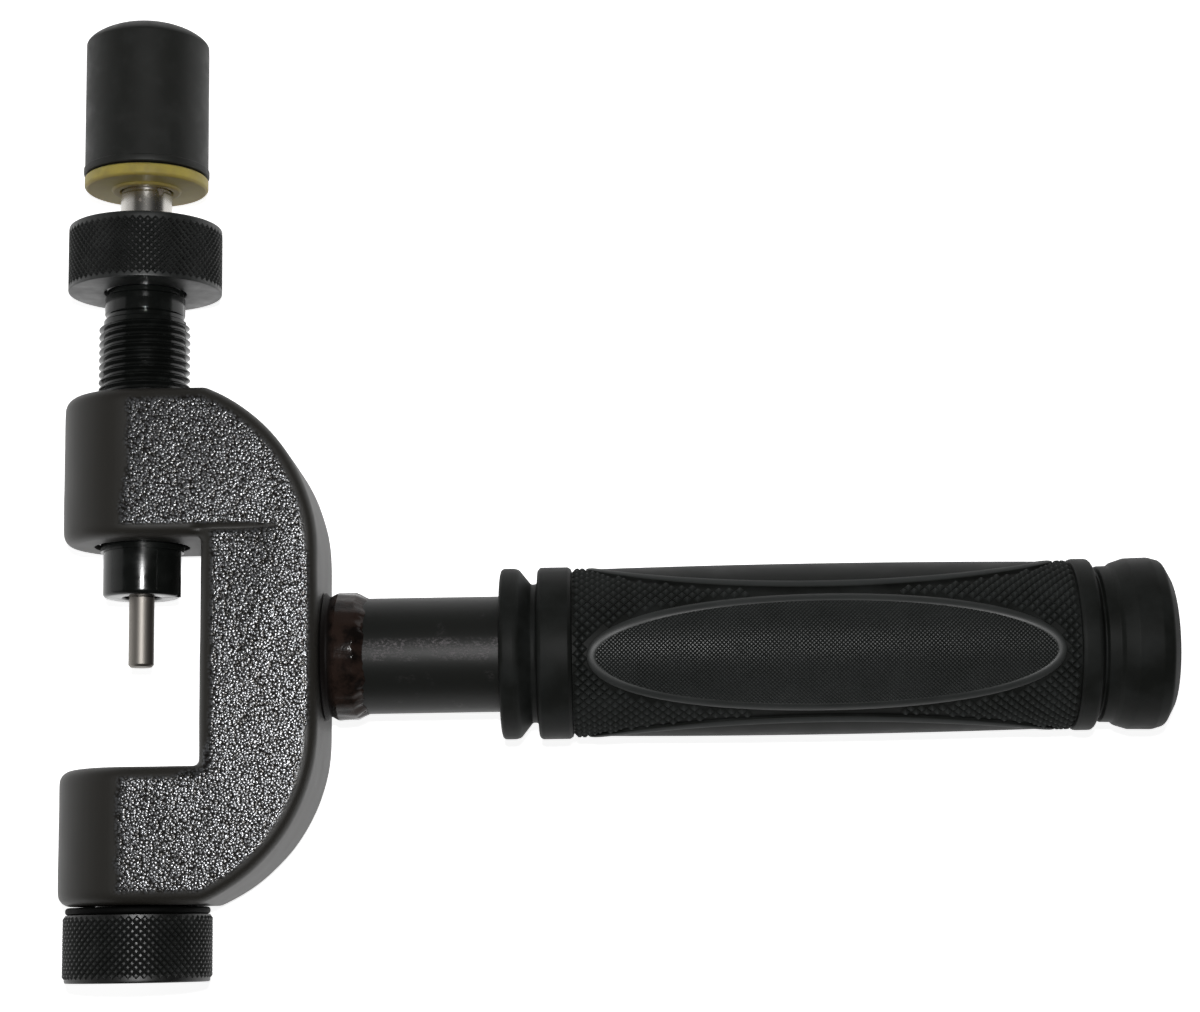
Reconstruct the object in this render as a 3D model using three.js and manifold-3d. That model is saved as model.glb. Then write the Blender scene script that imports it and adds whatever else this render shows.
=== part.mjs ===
// Hammer-type motorcycle chain tool: a C-shaped frame on a rubber-gripped handle, with a hollow clamp
// screw and a striking plunger in the upper arm and a screw-in anvil in the lower arm. Millimetres.
//
// Modelling axes: the spindle is the Y axis, the handle runs along +X at y = 0, and z = 0 is the middle
// of the frame's thickness. The finished group lies flat with the middle of its footprint at the origin.

import * as THREE from 'three';
import { mergeVertices } from 'three/addons/utils/BufferGeometryUtils.js';
import Module from 'manifold-3d';

const wasm = await Module();
wasm.setup();

// ---- Driving dimensions -------------------------------------------------------------------------

const GAP = 0.3; // clearance between neighbouring pieces
const ROUND = 28; // flat sides on a turned piece

const FRAME = {
  thickness: 30.2,
  top: 50.8,
  mouthTop: 21.8,
  mouthBottom: -21.2,
  bottom: -46.9,
  spineInner: 13.2,
  spineBack: 35.5,
  backRadius: 35,
  backRise: 32.3,
  mouthRadius: 2,
  edgeRadius: 2.4,
};
const THREAD = { radius: 8.85, boreRadius: 9.2, chamfer: 0.6 };

const CLAMP = {
  noseBottom: 12,
  noseRadius: 7.45,
  noseChamfer: 0.8,
  noseHole: 3.6,
  noseFloor: 4,
  shoulderRadius: 8.2,
  threadStart: 22.6,
  threadEnd: 66.2,
  shankRadius: 7.8,
  neckRadius: 7.2,
  neckStart: 71.3,
  neckSlope: 0.3,
  neckEnd: 72.7,
  top: 79.7,
};
const CLAMP_KNOB = { bottom: 72.3, top: 85.3, radius: 15.1, web: 2.4, topRound: 1.2, bottomRound: 0.8 };
const SEAL = { y: 81.4, ringRadius: 6.5, wireRadius: 1.1 };

const ROD = { radius: 5, bottom: 24.3, top: 112, chamfer: 0.4, socketRadius: 3.9, socketDepth: 14 };
const PIN = { radius: 2.42, tip: -1.4, tipChamfer: 0.35, headRadius: 3.5, headHeight: 3.2 };
const HOLDER = { outerRadius: 3.6, innerRadius: 2.75, length: 9 };
const CAP = {
  bottom: 96,
  radius: 12.3,
  edge: 0.3,
  lipHeight: 1.3,
  beadDepth: 0.25,
  beadHalf: 0.2,
  side: 122.9,
  dome: 4.4,
};
const BUMPER = { bottom: 92.9, radius: 12.1, edge: 0.5 };

const ANVIL_RING = { radius: 13.7, height: 1 };
const ANVIL_KNOB = { radius: 14.05, bottom: -61.1, topRound: 0.5, bottomRound: 1.2, floor: 3 };
const INSERT = { radius: 6.5, hole: 3.75, height: 9 };
const ANVIL_SCREW = { pocketDepth: 14.5, bottomChamfer: 0.8 };

const TUBE = { radius: 11.1, wall: 2.5, end: 186 };
const WELD = { radius: 12.2, root: 0.2, rootLength: 2.5, end: 42.6, toe: 44.2 };
const GRIP = {
  start: 69.4,
  flange: { radius: 16.4, end: 72.8 },
  groove: { radius: 13.4, start: 75.2, end: 76.5 },
  collar: { radius: 16.5, start: 77, end: 82.8 },
  body: { radius: 16.2, belly: 16.7, end: 178.5 },
  endCollar: { radius: 16.45, end: 182.1 },
  endGroove: { radius: 14.1, start: 183, end: 186.1 },
  endFlange: { radius: 16.45, start: 189.1, end: 193.9 },
  tip: { radius: 12.9, x: 197.4 },
  edge: 0.6,
};

// ---- Finishes -----------------------------------------------------------------------------------

function finish(color, roughness, metalness) {
  return new THREE.MeshStandardMaterial({ color, roughness, metalness });
}

const FINISH = {
  hammeredPaint: finish(0x2b2622, 0.35, 0.3),
  glossBlack: finish(0x151110, 0.2, 0.2),
  blackOxide: finish(0x1b1b1c, 0.4, 0.6),
  matteBlack: finish(0x1a1a1b, 0.6, 0.1),
  brightSteel: finish(0xb4aca0, 0.3, 0.9),
  urethane: finish(0x9a8c3a, 0.35, 0),
  rubber: finish(0x161718, 0.65, 0),
};

// ---- Shape helpers ------------------------------------------------------------------------------

// The geometry's positions alone, with shared vertices merged and collapsed triangles dropped.
function closedMesh(geometry) {
  geometry.deleteAttribute('normal');
  geometry.deleteAttribute('uv');
  const merged = mergeVertices(geometry, 1e-4);
  const index = merged.index.array;
  const kept = [];
  for (let i = 0; i < index.length; i += 3) {
    const [a, b, c] = index.slice(i, i + 3);
    if (a !== b && b !== c && c !== a) kept.push(a, b, c);
  }
  merged.setIndex(kept);
  return merged;
}

// A piece turned about the Y axis from (radius, y) points, listed anticlockwise round the section.
function turned(points) {
  const profile = points.map(([radius, y]) => new THREE.Vector2(radius, y));
  return closedMesh(new THREE.LatheGeometry(profile, ROUND));
}

// A turned piece laid along the handle: its Y axis becomes the X axis.
function turnedAlongHandle(points) {
  return turned(points).rotateZ(-Math.PI / 2);
}

// The section points of a quarter round from angle `from` to angle `to`, in degrees, centre (cx, cy).
function arc(cx, cy, radiusX, radiusY, from, to, steps) {
  const points = [];
  for (let i = 0; i <= steps; i += 1) {
    const angle = THREE.MathUtils.degToRad(from + ((to - from) * i) / steps);
    points.push([cx + radiusX * Math.cos(angle), cy + radiusY * Math.sin(angle)]);
  }
  return points;
}

function toSolid(geometry) {
  const mesh = closedMesh(geometry);
  const vertProperties = new Float32Array(mesh.attributes.position.array);
  const triVerts = new Uint32Array(mesh.index.array);
  return new wasm.Manifold(new wasm.Mesh({ numProp: 3, vertProperties, triVerts }));
}

function toGeometry(solid) {
  const { vertProperties, triVerts } = solid.getMesh();
  const geometry = new THREE.BufferGeometry();
  geometry.setAttribute('position', new THREE.BufferAttribute(vertProperties, 3));
  geometry.setIndex(new THREE.BufferAttribute(triVerts, 1));
  return geometry;
}

// An outline extruded by `height`, with every edge of both ends rounded inside the outline.
function roundedPlate(shape, height, edge, curveSegments) {
  const geometry = new THREE.ExtrudeGeometry(shape, {
    depth: height - 2 * edge,
    bevelThickness: edge,
    bevelSize: edge,
    bevelOffset: -edge,
    bevelSegments: 3,
    curveSegments,
  });
  return geometry.translate(0, 0, edge);
}

// ---- C-shaped frame -----------------------------------------------------------------------------

// The frame seen from its flat side: two arms, a straight spine and two large rounded back corners.
function frameOutline() {
  const { top, mouthTop, mouthBottom, bottom } = FRAME;
  const { spineInner, spineBack, backRadius, backRise, mouthRadius } = FRAME;
  const armEnd = -FRAME.thickness / 2;
  const backCentreX = spineBack - backRadius;
  const upperCentreY = top - backRise;
  const lowerCentreY = bottom + backRise;
  const upperStart = Math.asin((top - upperCentreY) / backRadius);
  const lowerEnd = Math.asin((bottom - lowerCentreY) / backRadius);
  const shape = new THREE.Shape();
  shape.moveTo(armEnd, mouthBottom);
  shape.lineTo(armEnd, bottom);
  shape.absarc(backCentreX, lowerCentreY, backRadius, lowerEnd, 0, false);
  shape.absarc(backCentreX, upperCentreY, backRadius, 0, upperStart, false);
  shape.lineTo(armEnd, top);
  shape.lineTo(armEnd, mouthTop);
  shape.absarc(spineInner - mouthRadius, mouthTop - mouthRadius, mouthRadius, Math.PI / 2, 0, true);
  shape.absarc(spineInner - mouthRadius, mouthBottom + mouthRadius, mouthRadius, 0, -Math.PI / 2, true);
  shape.closePath();
  return shape;
}

// The frame seen along the spindle: the arms end in a half round centred on the spindle.
function armPlan() {
  const radius = FRAME.thickness / 2;
  const past = 0.5;
  const side = radius + past;
  const far = FRAME.spineBack + 10;
  const shape = new THREE.Shape();
  shape.moveTo(far, -side);
  shape.lineTo(far, side);
  shape.lineTo(past, side);
  shape.absarc(0, 0, radius, Math.PI / 2, (3 * Math.PI) / 2, false);
  shape.lineTo(past, -side);
  shape.closePath();
  return shape;
}

function makeFrame() {
  const { thickness, top, bottom, edgeRadius } = FRAME;
  const plate = roundedPlate(frameOutline(), thickness, edgeRadius, 8).translate(0, 0, -thickness / 2);
  const column = roundedPlate(armPlan(), top - bottom, edgeRadius, 16);
  column.rotateX(-Math.PI / 2).translate(0, bottom, 0);
  const drill = new THREE.CylinderGeometry(THREAD.boreRadius, THREAD.boreRadius, top - bottom + 10, ROUND);
  drill.translate(0, (top + bottom) / 2, 0);
  return toGeometry(toSolid(plate).intersect(toSolid(column)).subtract(toSolid(drill)));
}

// ---- Clamp screw, knob and plunger --------------------------------------------------------------

function makeClampScrew() {
  const c = CLAMP;
  const bore = ROD.radius + GAP;
  return turned([
    [c.noseHole, c.noseBottom],
    [c.noseRadius - c.noseChamfer, c.noseBottom],
    [c.noseRadius, c.noseBottom + c.noseChamfer],
    [c.noseRadius, FRAME.mouthTop - 1],
    [c.shoulderRadius, FRAME.mouthTop - 1],
    [c.shoulderRadius, c.threadStart - THREAD.chamfer],
    [THREAD.radius, c.threadStart],
    [THREAD.radius, c.threadEnd - THREAD.chamfer],
    [c.shankRadius, c.threadEnd],
    [c.shankRadius, c.neckStart],
    [c.neckRadius, c.neckStart + c.neckSlope],
    [c.neckRadius, c.neckEnd],
    [c.shankRadius, c.neckEnd + c.neckSlope],
    [c.shankRadius, c.top],
    [bore, c.top],
    [bore, c.noseBottom + c.noseFloor],
    [c.noseHole, c.noseBottom + c.noseFloor],
    [c.noseHole, c.noseBottom],
  ]);
}

function makeClampKnob() {
  const { bottom, top, radius, web, topRound, bottomRound } = CLAMP_KNOB;
  const screwBore = CLAMP.shankRadius + GAP;
  const rodBore = ROD.radius + GAP;
  return turned([
    [screwBore, bottom],
    ...arc(radius - bottomRound, bottom + bottomRound, bottomRound, bottomRound, -90, 0, 2),
    ...arc(radius - topRound, top - topRound, topRound, topRound, 0, 90, 3),
    [rodBore, top],
    [rodBore, top - web],
    [screwBore, top - web],
    [screwBore, bottom],
  ]);
}

function makeRodSeal() {
  const { y, ringRadius, wireRadius } = SEAL;
  const ring = closedMesh(new THREE.TorusGeometry(ringRadius, wireRadius, 8, ROUND));
  return ring.rotateX(Math.PI / 2).translate(0, y, 0);
}

function makePlungerRod() {
  const { radius, bottom, top, chamfer, socketRadius, socketDepth } = ROD;
  return turned([
    [0, bottom + socketDepth],
    [socketRadius, bottom + socketDepth],
    [socketRadius, bottom],
    [radius - chamfer, bottom],
    [radius, bottom + chamfer],
    [radius, top - chamfer],
    [radius - chamfer, top],
    [0, top],
  ]);
}

// The hollow set screw in the rod's end, which holds the push pin's head.
function makePinHolder() {
  const { outerRadius, innerRadius, length } = HOLDER;
  const { bottom } = ROD;
  return turned([
    [innerRadius, bottom],
    [outerRadius, bottom],
    [outerRadius, bottom + length],
    [innerRadius, bottom + length],
    [innerRadius, bottom],
  ]);
}

function makePushPin() {
  const { radius, tip, tipChamfer, headRadius, headHeight } = PIN;
  const headStart = ROD.bottom + HOLDER.length + GAP;
  return turned([
    [0, tip],
    [radius - tipChamfer, tip],
    [radius, tip + tipChamfer],
    [radius, headStart],
    [headRadius, headStart],
    [headRadius, headStart + headHeight],
    [0, headStart + headHeight],
  ]);
}

function makeStrikingCap() {
  const { bottom, radius, edge, lipHeight, beadDepth, beadHalf, side, dome } = CAP;
  const bore = ROD.radius + GAP;
  return turned([
    [0, ROD.top + GAP],
    [bore, ROD.top + GAP],
    [bore, bottom],
    [radius - edge, bottom],
    [radius, bottom + edge],
    [radius, bottom + lipHeight - beadHalf],
    [radius - beadDepth, bottom + lipHeight],
    [radius, bottom + lipHeight + beadHalf],
    ...arc(0, side, radius, dome, 0, 90, 8).slice(0, -1),
    [0, side + dome],
  ]);
}

function makeBumper() {
  const { bottom, radius, edge } = BUMPER;
  const top = CAP.bottom - GAP;
  const bore = ROD.radius + GAP;
  return turned([
    [bore, bottom],
    ...arc(radius - edge, bottom + edge, edge, edge, -90, 0, 2),
    ...arc(radius - edge, top - edge, edge, edge, 0, 90, 2),
    [bore, top],
    [bore, bottom],
  ]);
}

// ---- Anvil --------------------------------------------------------------------------------------

const anvilTop = FRAME.mouthBottom - GAP;
const ringTop = FRAME.bottom - GAP;
const anvilKnobTop = ringTop - ANVIL_RING.height - GAP;
const anvilScrewBottom = ANVIL_KNOB.bottom + ANVIL_KNOB.floor + GAP;

function makeAnvilScrew() {
  const seat = INSERT.radius + GAP;
  const seatFloor = anvilTop - INSERT.height - GAP;
  const { pocketDepth, bottomChamfer } = ANVIL_SCREW;
  const pocketFloor = anvilTop - pocketDepth;
  return turned([
    [0, anvilScrewBottom],
    [THREAD.radius - bottomChamfer, anvilScrewBottom],
    [THREAD.radius, anvilScrewBottom + bottomChamfer],
    [THREAD.radius, anvilTop - THREAD.chamfer],
    [THREAD.radius - THREAD.chamfer, anvilTop],
    [seat, anvilTop],
    [seat, seatFloor],
    [INSERT.hole, seatFloor],
    [INSERT.hole, pocketFloor],
    [0, pocketFloor],
  ]);
}

function makeAnvilInsert() {
  const { radius, hole, height } = INSERT;
  return turned([
    [hole, anvilTop - height],
    [radius, anvilTop - height],
    [radius, anvilTop],
    [hole, anvilTop],
    [hole, anvilTop - height],
  ]);
}

function makeAnvilRing() {
  const bore = THREAD.boreRadius;
  const bottom = ringTop - ANVIL_RING.height;
  return turned([
    [bore, bottom],
    [ANVIL_RING.radius, bottom],
    [ANVIL_RING.radius, ringTop],
    [bore, ringTop],
    [bore, bottom],
  ]);
}

function makeAnvilKnob() {
  const { radius, bottom, topRound, bottomRound, floor } = ANVIL_KNOB;
  const bore = THREAD.boreRadius;
  return turned([
    [0, bottom],
    ...arc(radius - bottomRound, bottom + bottomRound, bottomRound, bottomRound, -90, 0, 3),
    ...arc(radius - topRound, anvilKnobTop - topRound, topRound, topRound, 0, 90, 2),
    [bore, anvilKnobTop],
    [bore, bottom + floor],
    [0, bottom + floor],
  ]);
}

// ---- Handle -------------------------------------------------------------------------------------

function makeTube() {
  const { radius, wall, end } = TUBE;
  const start = FRAME.spineBack + GAP;
  const bore = radius - wall;
  return turnedAlongHandle([
    [bore, start],
    [radius, start],
    [radius, end],
    [bore, end],
    [bore, start],
  ]);
}

function makeWeld() {
  const start = FRAME.spineBack + GAP;
  const bore = TUBE.radius + GAP;
  const { radius, root, rootLength, end, toe } = WELD;
  return turnedAlongHandle([
    [bore, start],
    [radius + root, start],
    [radius, start + rootLength],
    [radius, end],
    [bore + root, toe],
    [bore, toe],
    [bore, start],
  ]);
}

function makeGrip() {
  const { start, flange, groove, collar, body, endCollar, endGroove, endFlange, tip, edge } = GRIP;
  const bore = TUBE.radius + GAP;
  const boreEnd = TUBE.end + GAP;
  const bellyX = (collar.end + body.end) / 2;
  const tipRound = endFlange.radius - tip.radius;
  const tipLength = tip.x - endFlange.end;
  return turnedAlongHandle([
    [0, boreEnd],
    [bore, boreEnd],
    [bore, start],
    [flange.radius - edge, start],
    [flange.radius, start + edge],
    [flange.radius, flange.end],
    [groove.radius, groove.start],
    [groove.radius, groove.end],
    [collar.radius, collar.start],
    [collar.radius, collar.end],
    [body.radius, collar.end + edge],
    [(body.radius + 3 * body.belly) / 4, (collar.end + bellyX) / 2],
    [body.belly, bellyX],
    [(body.radius + 3 * body.belly) / 4, (body.end + bellyX) / 2],
    [body.radius, body.end - edge],
    [endCollar.radius, body.end],
    [endCollar.radius, endCollar.end],
    [endGroove.radius, endGroove.start],
    [endGroove.radius, endGroove.end],
    [endFlange.radius, endFlange.start],
    [endFlange.radius, endFlange.end],
    ...arc(tip.radius, endFlange.end, tipRound, tipLength, 0, 90, 4).slice(1),
    [0, tip.x],
  ]);
}

// ---- Assembly -----------------------------------------------------------------------------------

const tool = new THREE.Group();

function add(name, geometry, material) {
  const mesh = new THREE.Mesh(geometry, material);
  mesh.name = name;
  tool.add(mesh);
}

add('c_frame', makeFrame(), FINISH.hammeredPaint);
add('handle_weld', makeWeld(), FINISH.glossBlack);
add('handle_tube', makeTube(), FINISH.glossBlack);
add('handle_grip', makeGrip(), FINISH.rubber);
add('rod_seal', makeRodSeal(), FINISH.rubber);
add('clamp_screw', makeClampScrew(), FINISH.blackOxide);
add('clamp_knob', makeClampKnob(), FINISH.blackOxide);
add('plunger_rod', makePlungerRod(), FINISH.brightSteel);
add('pin_holder', makePinHolder(), FINISH.blackOxide);
add('push_pin', makePushPin(), FINISH.brightSteel);
add('striking_cap', makeStrikingCap(), FINISH.matteBlack);
add('bumper_washer', makeBumper(), FINISH.urethane);
add('anvil_ring', makeAnvilRing(), FINISH.glossBlack);
add('anvil_screw', makeAnvilScrew(), FINISH.blackOxide);
add('anvil_insert', makeAnvilInsert(), FINISH.brightSteel);
add('anvil_knob', makeAnvilKnob(), FINISH.blackOxide);

// The tool lies on its side: the middle of its footprint is the origin and the grip touches z = 0.
const footprint = new THREE.Box3().setFromObject(tool);
const centre = footprint.getCenter(new THREE.Vector3());
tool.position.set(-centre.x, -centre.y, -footprint.min.z);

export default tool;
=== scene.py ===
"""Blender scene of a hammer-type motorcycle chain tool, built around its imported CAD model.

The tool lies on its side. The spindle (clamp screw, plunger and anvil) runs along Y, the handle
along X, and the frame's flat sides face up and down. Everything is in metres in the row frame.
"""
import logging
import math
from collections.abc import Callable, Iterable, Sequence
from dataclasses import dataclass, field
from enum import Enum

import bmesh
import bpy
from mathutils import Matrix, Vector, noise


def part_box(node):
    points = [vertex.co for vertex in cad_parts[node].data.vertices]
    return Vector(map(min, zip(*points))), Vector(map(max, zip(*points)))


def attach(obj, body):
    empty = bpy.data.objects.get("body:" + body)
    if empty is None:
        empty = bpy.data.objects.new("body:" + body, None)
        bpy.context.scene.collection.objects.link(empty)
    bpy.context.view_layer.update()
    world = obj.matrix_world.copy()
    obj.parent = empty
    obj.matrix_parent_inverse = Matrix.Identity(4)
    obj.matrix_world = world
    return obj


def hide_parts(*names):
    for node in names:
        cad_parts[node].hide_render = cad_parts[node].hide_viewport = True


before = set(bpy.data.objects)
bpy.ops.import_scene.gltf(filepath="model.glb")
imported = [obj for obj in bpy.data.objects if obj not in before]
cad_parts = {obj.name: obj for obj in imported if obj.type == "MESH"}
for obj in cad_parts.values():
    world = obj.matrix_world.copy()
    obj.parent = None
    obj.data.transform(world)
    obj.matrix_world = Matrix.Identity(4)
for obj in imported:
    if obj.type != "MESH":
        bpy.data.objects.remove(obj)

LOG = logging.getLogger("chain_tool")
MM = 0.001
FULL_TURN = 2 * math.pi
ALONG_X, ALONG_Y, UP = Vector((1, 0, 0)), Vector((0, 1, 0)), Vector((0, 0, 1))
MERGE_DISTANCE = 1e-7
JOIN_DISTANCE = 1e-6
FILLET_SHARE = 0.49
KNURL_INSET = 0.22
THREAD_DEPTH = 0.61
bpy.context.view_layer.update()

Corner = tuple[float, float, float]
Station = tuple[float, float]
Mesh = bmesh.types.BMesh
Vert = bmesh.types.BMVert
Edge = bmesh.types.BMEdge
Face = bmesh.types.BMFace
Socket = bpy.types.NodeSocket
Material = bpy.types.Material
Piece = bpy.types.Object


# ---- Measures taken from the frame ---------------------------------------------------------------


@dataclass(frozen=True)
class Box:
    """A CAD node's box at rest, in metres."""

    low: Vector
    high: Vector

    @classmethod
    def of(cls, node: str) -> "Box":
        """Reads the box of one CAD node."""
        low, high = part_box(node)
        return cls(Vector(low), Vector(high))

    @property
    def centre(self) -> Vector:
        """The middle of the box."""
        return (self.low + self.high) / 2

    @property
    def size(self) -> Vector:
        """The box's length along each axis."""
        return self.high - self.low


@dataclass(frozen=True)
class Axis:
    """A straight line that turned pieces are centred on."""

    origin: Vector
    direction: Vector
    radial: Vector

    def point(self, radius: float, along: float, angle: float = 0.0) -> Vector:
        """A point at a radius from the axis, at a place along it.

        Args:
            radius: distance from the axis.
            along: distance along the axis from its origin.
            angle: turn about the axis, by the right-hand rule from the radial direction.

        Returns:
            The point in the row frame.
        """
        side = self.direction.cross(self.radial)
        across = self.radial * math.cos(angle) + side * math.sin(angle)
        return self.origin + self.direction * along + across * radius

    def measure(self, point: Vector) -> tuple[float, float, float]:
        """The radius, place along the axis and angle of a point."""
        offset = point - self.origin
        along = offset.dot(self.direction)
        flat = offset - self.direction * along
        side = self.direction.cross(self.radial)
        return flat.length, along, math.atan2(flat.dot(side), flat.dot(self.radial))


ROD_BOX = Box.of("plunger_rod")
TUBE_BOX = Box.of("handle_tube")
SPINDLE = Axis(Vector((ROD_BOX.centre.x, 0, ROD_BOX.centre.z)), ALONG_Y, ALONG_X)
HANDLE = Axis(Vector((0, TUBE_BOX.centre.y, TUBE_BOX.centre.z)), ALONG_X, ALONG_Y)


# ---- Mesh helpers --------------------------------------------------------------------------------


def only(kind: type, geometry: Iterable[object]) -> list:
    """The members of a bmesh result that are of one kind, in order."""
    return [part for part in geometry if isinstance(part, kind)]


def open_edges(bm: Mesh) -> list[Edge]:
    """The edges that have a face on one side only."""
    return [edge for edge in bm.edges if edge.is_boundary]


def extrude_edges(bm: Mesh, edges: Sequence[Edge]) -> tuple[list[Vert], list[Edge]]:
    """Extrudes edges, and gives the new vertices and the new edges."""
    grown = bmesh.ops.extrude_edge_only(bm, edges=edges)["geom"]
    return only(Vert, grown), only(Edge, grown)


def from_start(start: float, corners: Iterable[Corner]) -> list[Corner]:
    """Turns a section's corners from millimetres, counted from a start, into metres.

    Args:
        start: the place along the axis that the corners are counted from, in metres.
        corners: (radius, along, fillet) of each corner, in millimetres.

    Returns:
        The same corners in metres.
    """
    return [(radius * MM, start + along * MM, fillet * MM) for radius, along, fillet in corners]


def rounded(corners: Sequence[Corner], arc_steps: int = 4) -> list[Station]:
    """Rounds the corners of a turned section.

    Args:
        corners: (radius, along, fillet) of each corner of the section, in order.
        arc_steps: straight pieces in each fillet.

    Returns:
        The section's (radius, along) points with each fillet as an arc.
    """
    section: list[Station] = []
    for i, (radius, along, fillet) in enumerate(corners):
        here = Vector((radius, along))
        if fillet <= 0 or i in (0, len(corners) - 1):
            section.append((here.x, here.y))
            continue
        before = Vector(corners[i - 1][:2]) - here
        after = Vector(corners[i + 1][:2]) - here
        half = before.angle(after) / 2
        cut = min(fillet / math.tan(half), before.length * FILLET_SHARE,
                  after.length * FILLET_SHARE)
        reach = cut * math.tan(half)
        start = here + before.normalized() * cut
        middle = (before.normalized() + after.normalized()).normalized()
        centre = here + middle * (cut / math.cos(half))
        sweep = (start - centre).angle_signed(here + after.normalized() * cut - centre)
        for step in range(arc_steps + 1):
            spoke = (start - centre).normalized() * reach
            spoke.rotate(Matrix.Rotation(-sweep * step / arc_steps, 2))
            section.append(tuple(centre + spoke))
    return section


def spin_section(bm: Mesh, axis: Axis, section: Sequence[Station], steps: int = 96) -> None:
    """Turns a section about an axis into a closed skin.

    Args:
        bm: the mesh to add to.
        axis: the axis that the piece is turned about.
        section: (radius, along) points, which start and end on the axis or close on themselves.
        steps: flat sides round the axis.
    """
    verts = [bm.verts.new(axis.point(radius, along)) for radius, along in section]
    edges = [bm.edges.new(pair) for pair in zip(verts, verts[1:])]
    bmesh.ops.spin(bm, geom=verts + edges, cent=axis.origin, axis=axis.direction,
                   angle=FULL_TURN, steps=steps, use_merge=True)
    bmesh.ops.remove_doubles(bm, verts=bm.verts, dist=MERGE_DISTANCE)
    bmesh.ops.recalc_face_normals(bm, faces=bm.faces)


def place_loop(verts: Iterable[Vert], axis: Axis, radius: float, along: float) -> None:
    """Moves a ring of vertices to a new radius and place along an axis, each at its own angle."""
    for vert in verts:
        vert.co = axis.point(radius, along, axis.measure(vert.co)[2])


def extend_loop(bm: Mesh, edges: Sequence[Edge], axis: Axis,
                stations: Iterable[Station]) -> list[Edge]:
    """Extrudes an open ring through a list of stations.

    Args:
        bm: the mesh that holds the ring.
        edges: the ring's edges.
        axis: the axis that the ring is centred on.
        stations: (radius, along) of each new ring, in order.

    Returns:
        The edges of the last ring.
    """
    for radius, along in stations:
        verts, edges = extrude_edges(bm, edges)
        place_loop(verts, axis, radius, along)
    return list(edges)


def start_loop(bm: Mesh, axis: Axis, segments: int, radius: float,
               along: float) -> list[Edge]:
    """Makes a ring of edges round an axis."""
    ring = bmesh.ops.create_circle(bm, cap_ends=False, segments=segments, radius=radius)["verts"]
    turn = UP.rotation_difference(axis.direction).to_matrix().to_4x4()
    bmesh.ops.transform(bm, matrix=Matrix.Translation(axis.origin) @ turn, verts=ring)
    place_loop(ring, axis, radius, along)
    return list({edge for vert in ring for edge in vert.link_edges})


def diamond_faces(bm: Mesh, faces: Sequence[Face],
                  settle: Callable[[Vert], None]) -> list[Face]:
    """Turns a wall of rectangles into diamonds, with half diamonds along its open edges.

    Args:
        bm: the mesh that holds the wall.
        faces: the wall's rectangles.
        settle: puts a new vertex in the middle of a rectangle back on the wall's true surface.

    Returns:
        The whole diamonds.
    """
    old_edges = {edge for face in faces for edge in face.edges}
    poked = bmesh.ops.poke(bm, faces=faces)
    for vert in poked["verts"]:
        settle(vert)
    inner = [edge for edge in old_edges if edge.is_valid and len(edge.link_faces) == 2
             and all(len(face.verts) == 3 for face in edge.link_faces)]
    bmesh.ops.dissolve_edges(bm, edges=inner, use_verts=False, use_face_split=False)
    touched = {face for vert in poked["verts"] for face in vert.link_faces}
    return [face for face in touched if len(face.verts) == 4]


def turn_outwards(bm: Mesh) -> None:
    """Turns each closed shell of a mesh the right way out."""
    bm.normal_update()
    bmesh.ops.recalc_face_normals(bm, faces=bm.faces)
    left = set(bm.faces)
    while left:
        shell, growing = set(), [left.pop()]
        while growing:
            face = growing.pop()
            shell.add(face)
            near = {other for edge in face.edges for other in edge.link_faces} & left
            left -= near
            growing.extend(near)
        if sum(face.calc_center_median().dot(face.normal) * face.calc_area() for face in shell) < 0:
            bmesh.ops.reverse_faces(bm, faces=list(shell))


def face_outwards(bm: Mesh, axis: Axis) -> None:
    """Turns every face of an open wall away from an axis."""
    bm.normal_update()
    inward = []
    for face in bm.faces:
        centre = face.calc_center_median()
        _, along, angle = axis.measure(centre)
        if face.normal.dot(axis.point(1, along, angle) - axis.point(0, along)) < 0:
            inward.append(face)
    bmesh.ops.reverse_faces(bm, faces=inward)


def knurled_wall(bm: Mesh, axis: Axis, radius: float, span: Station, pitch: float, depth: float,
                 sunk: bool = False) -> tuple[list[Edge], list[Edge]]:
    """Makes a round wall with a diamond knurl.

    Args:
        bm: an empty mesh.
        axis: the wall's axis.
        radius: radius over the knurl's points.
        span: where the wall starts and ends along the axis.
        pitch: distance between diamonds, both ways.
        depth: height of the diamonds over the wall, or how far they sink into it.
        sunk: whether the diamonds are pits between crossing ridges instead of points.

    Returns:
        The edges of the ring at the start and of the ring at the end.
    """
    groove = bm.verts.layers.float.new(TurnedBlack.groove_shade_mask)
    root = radius if sunk else radius - depth
    around = round(FULL_TURN * radius / pitch)
    rows = round((span[1] - span[0]) / pitch)
    first = start_loop(bm, axis, around, root, span[0])
    stations = [(root, span[0] + (span[1] - span[0]) * row / rows) for row in range(1, rows + 1)]
    last = extend_loop(bm, first, axis, stations)
    face_outwards(bm, axis)

    def settle(vert: Vert) -> None:
        place_loop([vert], axis, root, axis.measure(vert.co)[1])

    diamonds = diamond_faces(bm, list(bm.faces), settle)
    bmesh.ops.inset_individual(bm, faces=diamonds, thickness=pitch * KNURL_INSET,
                               depth=-depth if sunk else depth, use_even_offset=True)
    moved = {vert for face in diamonds for vert in face.verts}
    # Marks the knurl's valleys, which the finish darkens as painted shade.
    for vert in bm.verts:
        vert[groove] = float((vert in moved) == sunk)
    return first, last


def ease(value: float, start: float, end: float) -> float:
    """A smooth rise from 0 at start to 1 at end."""
    t = min(max((value - start) / (end - start), 0.0), 1.0)
    return t * t * (3 - 2 * t)


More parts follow.
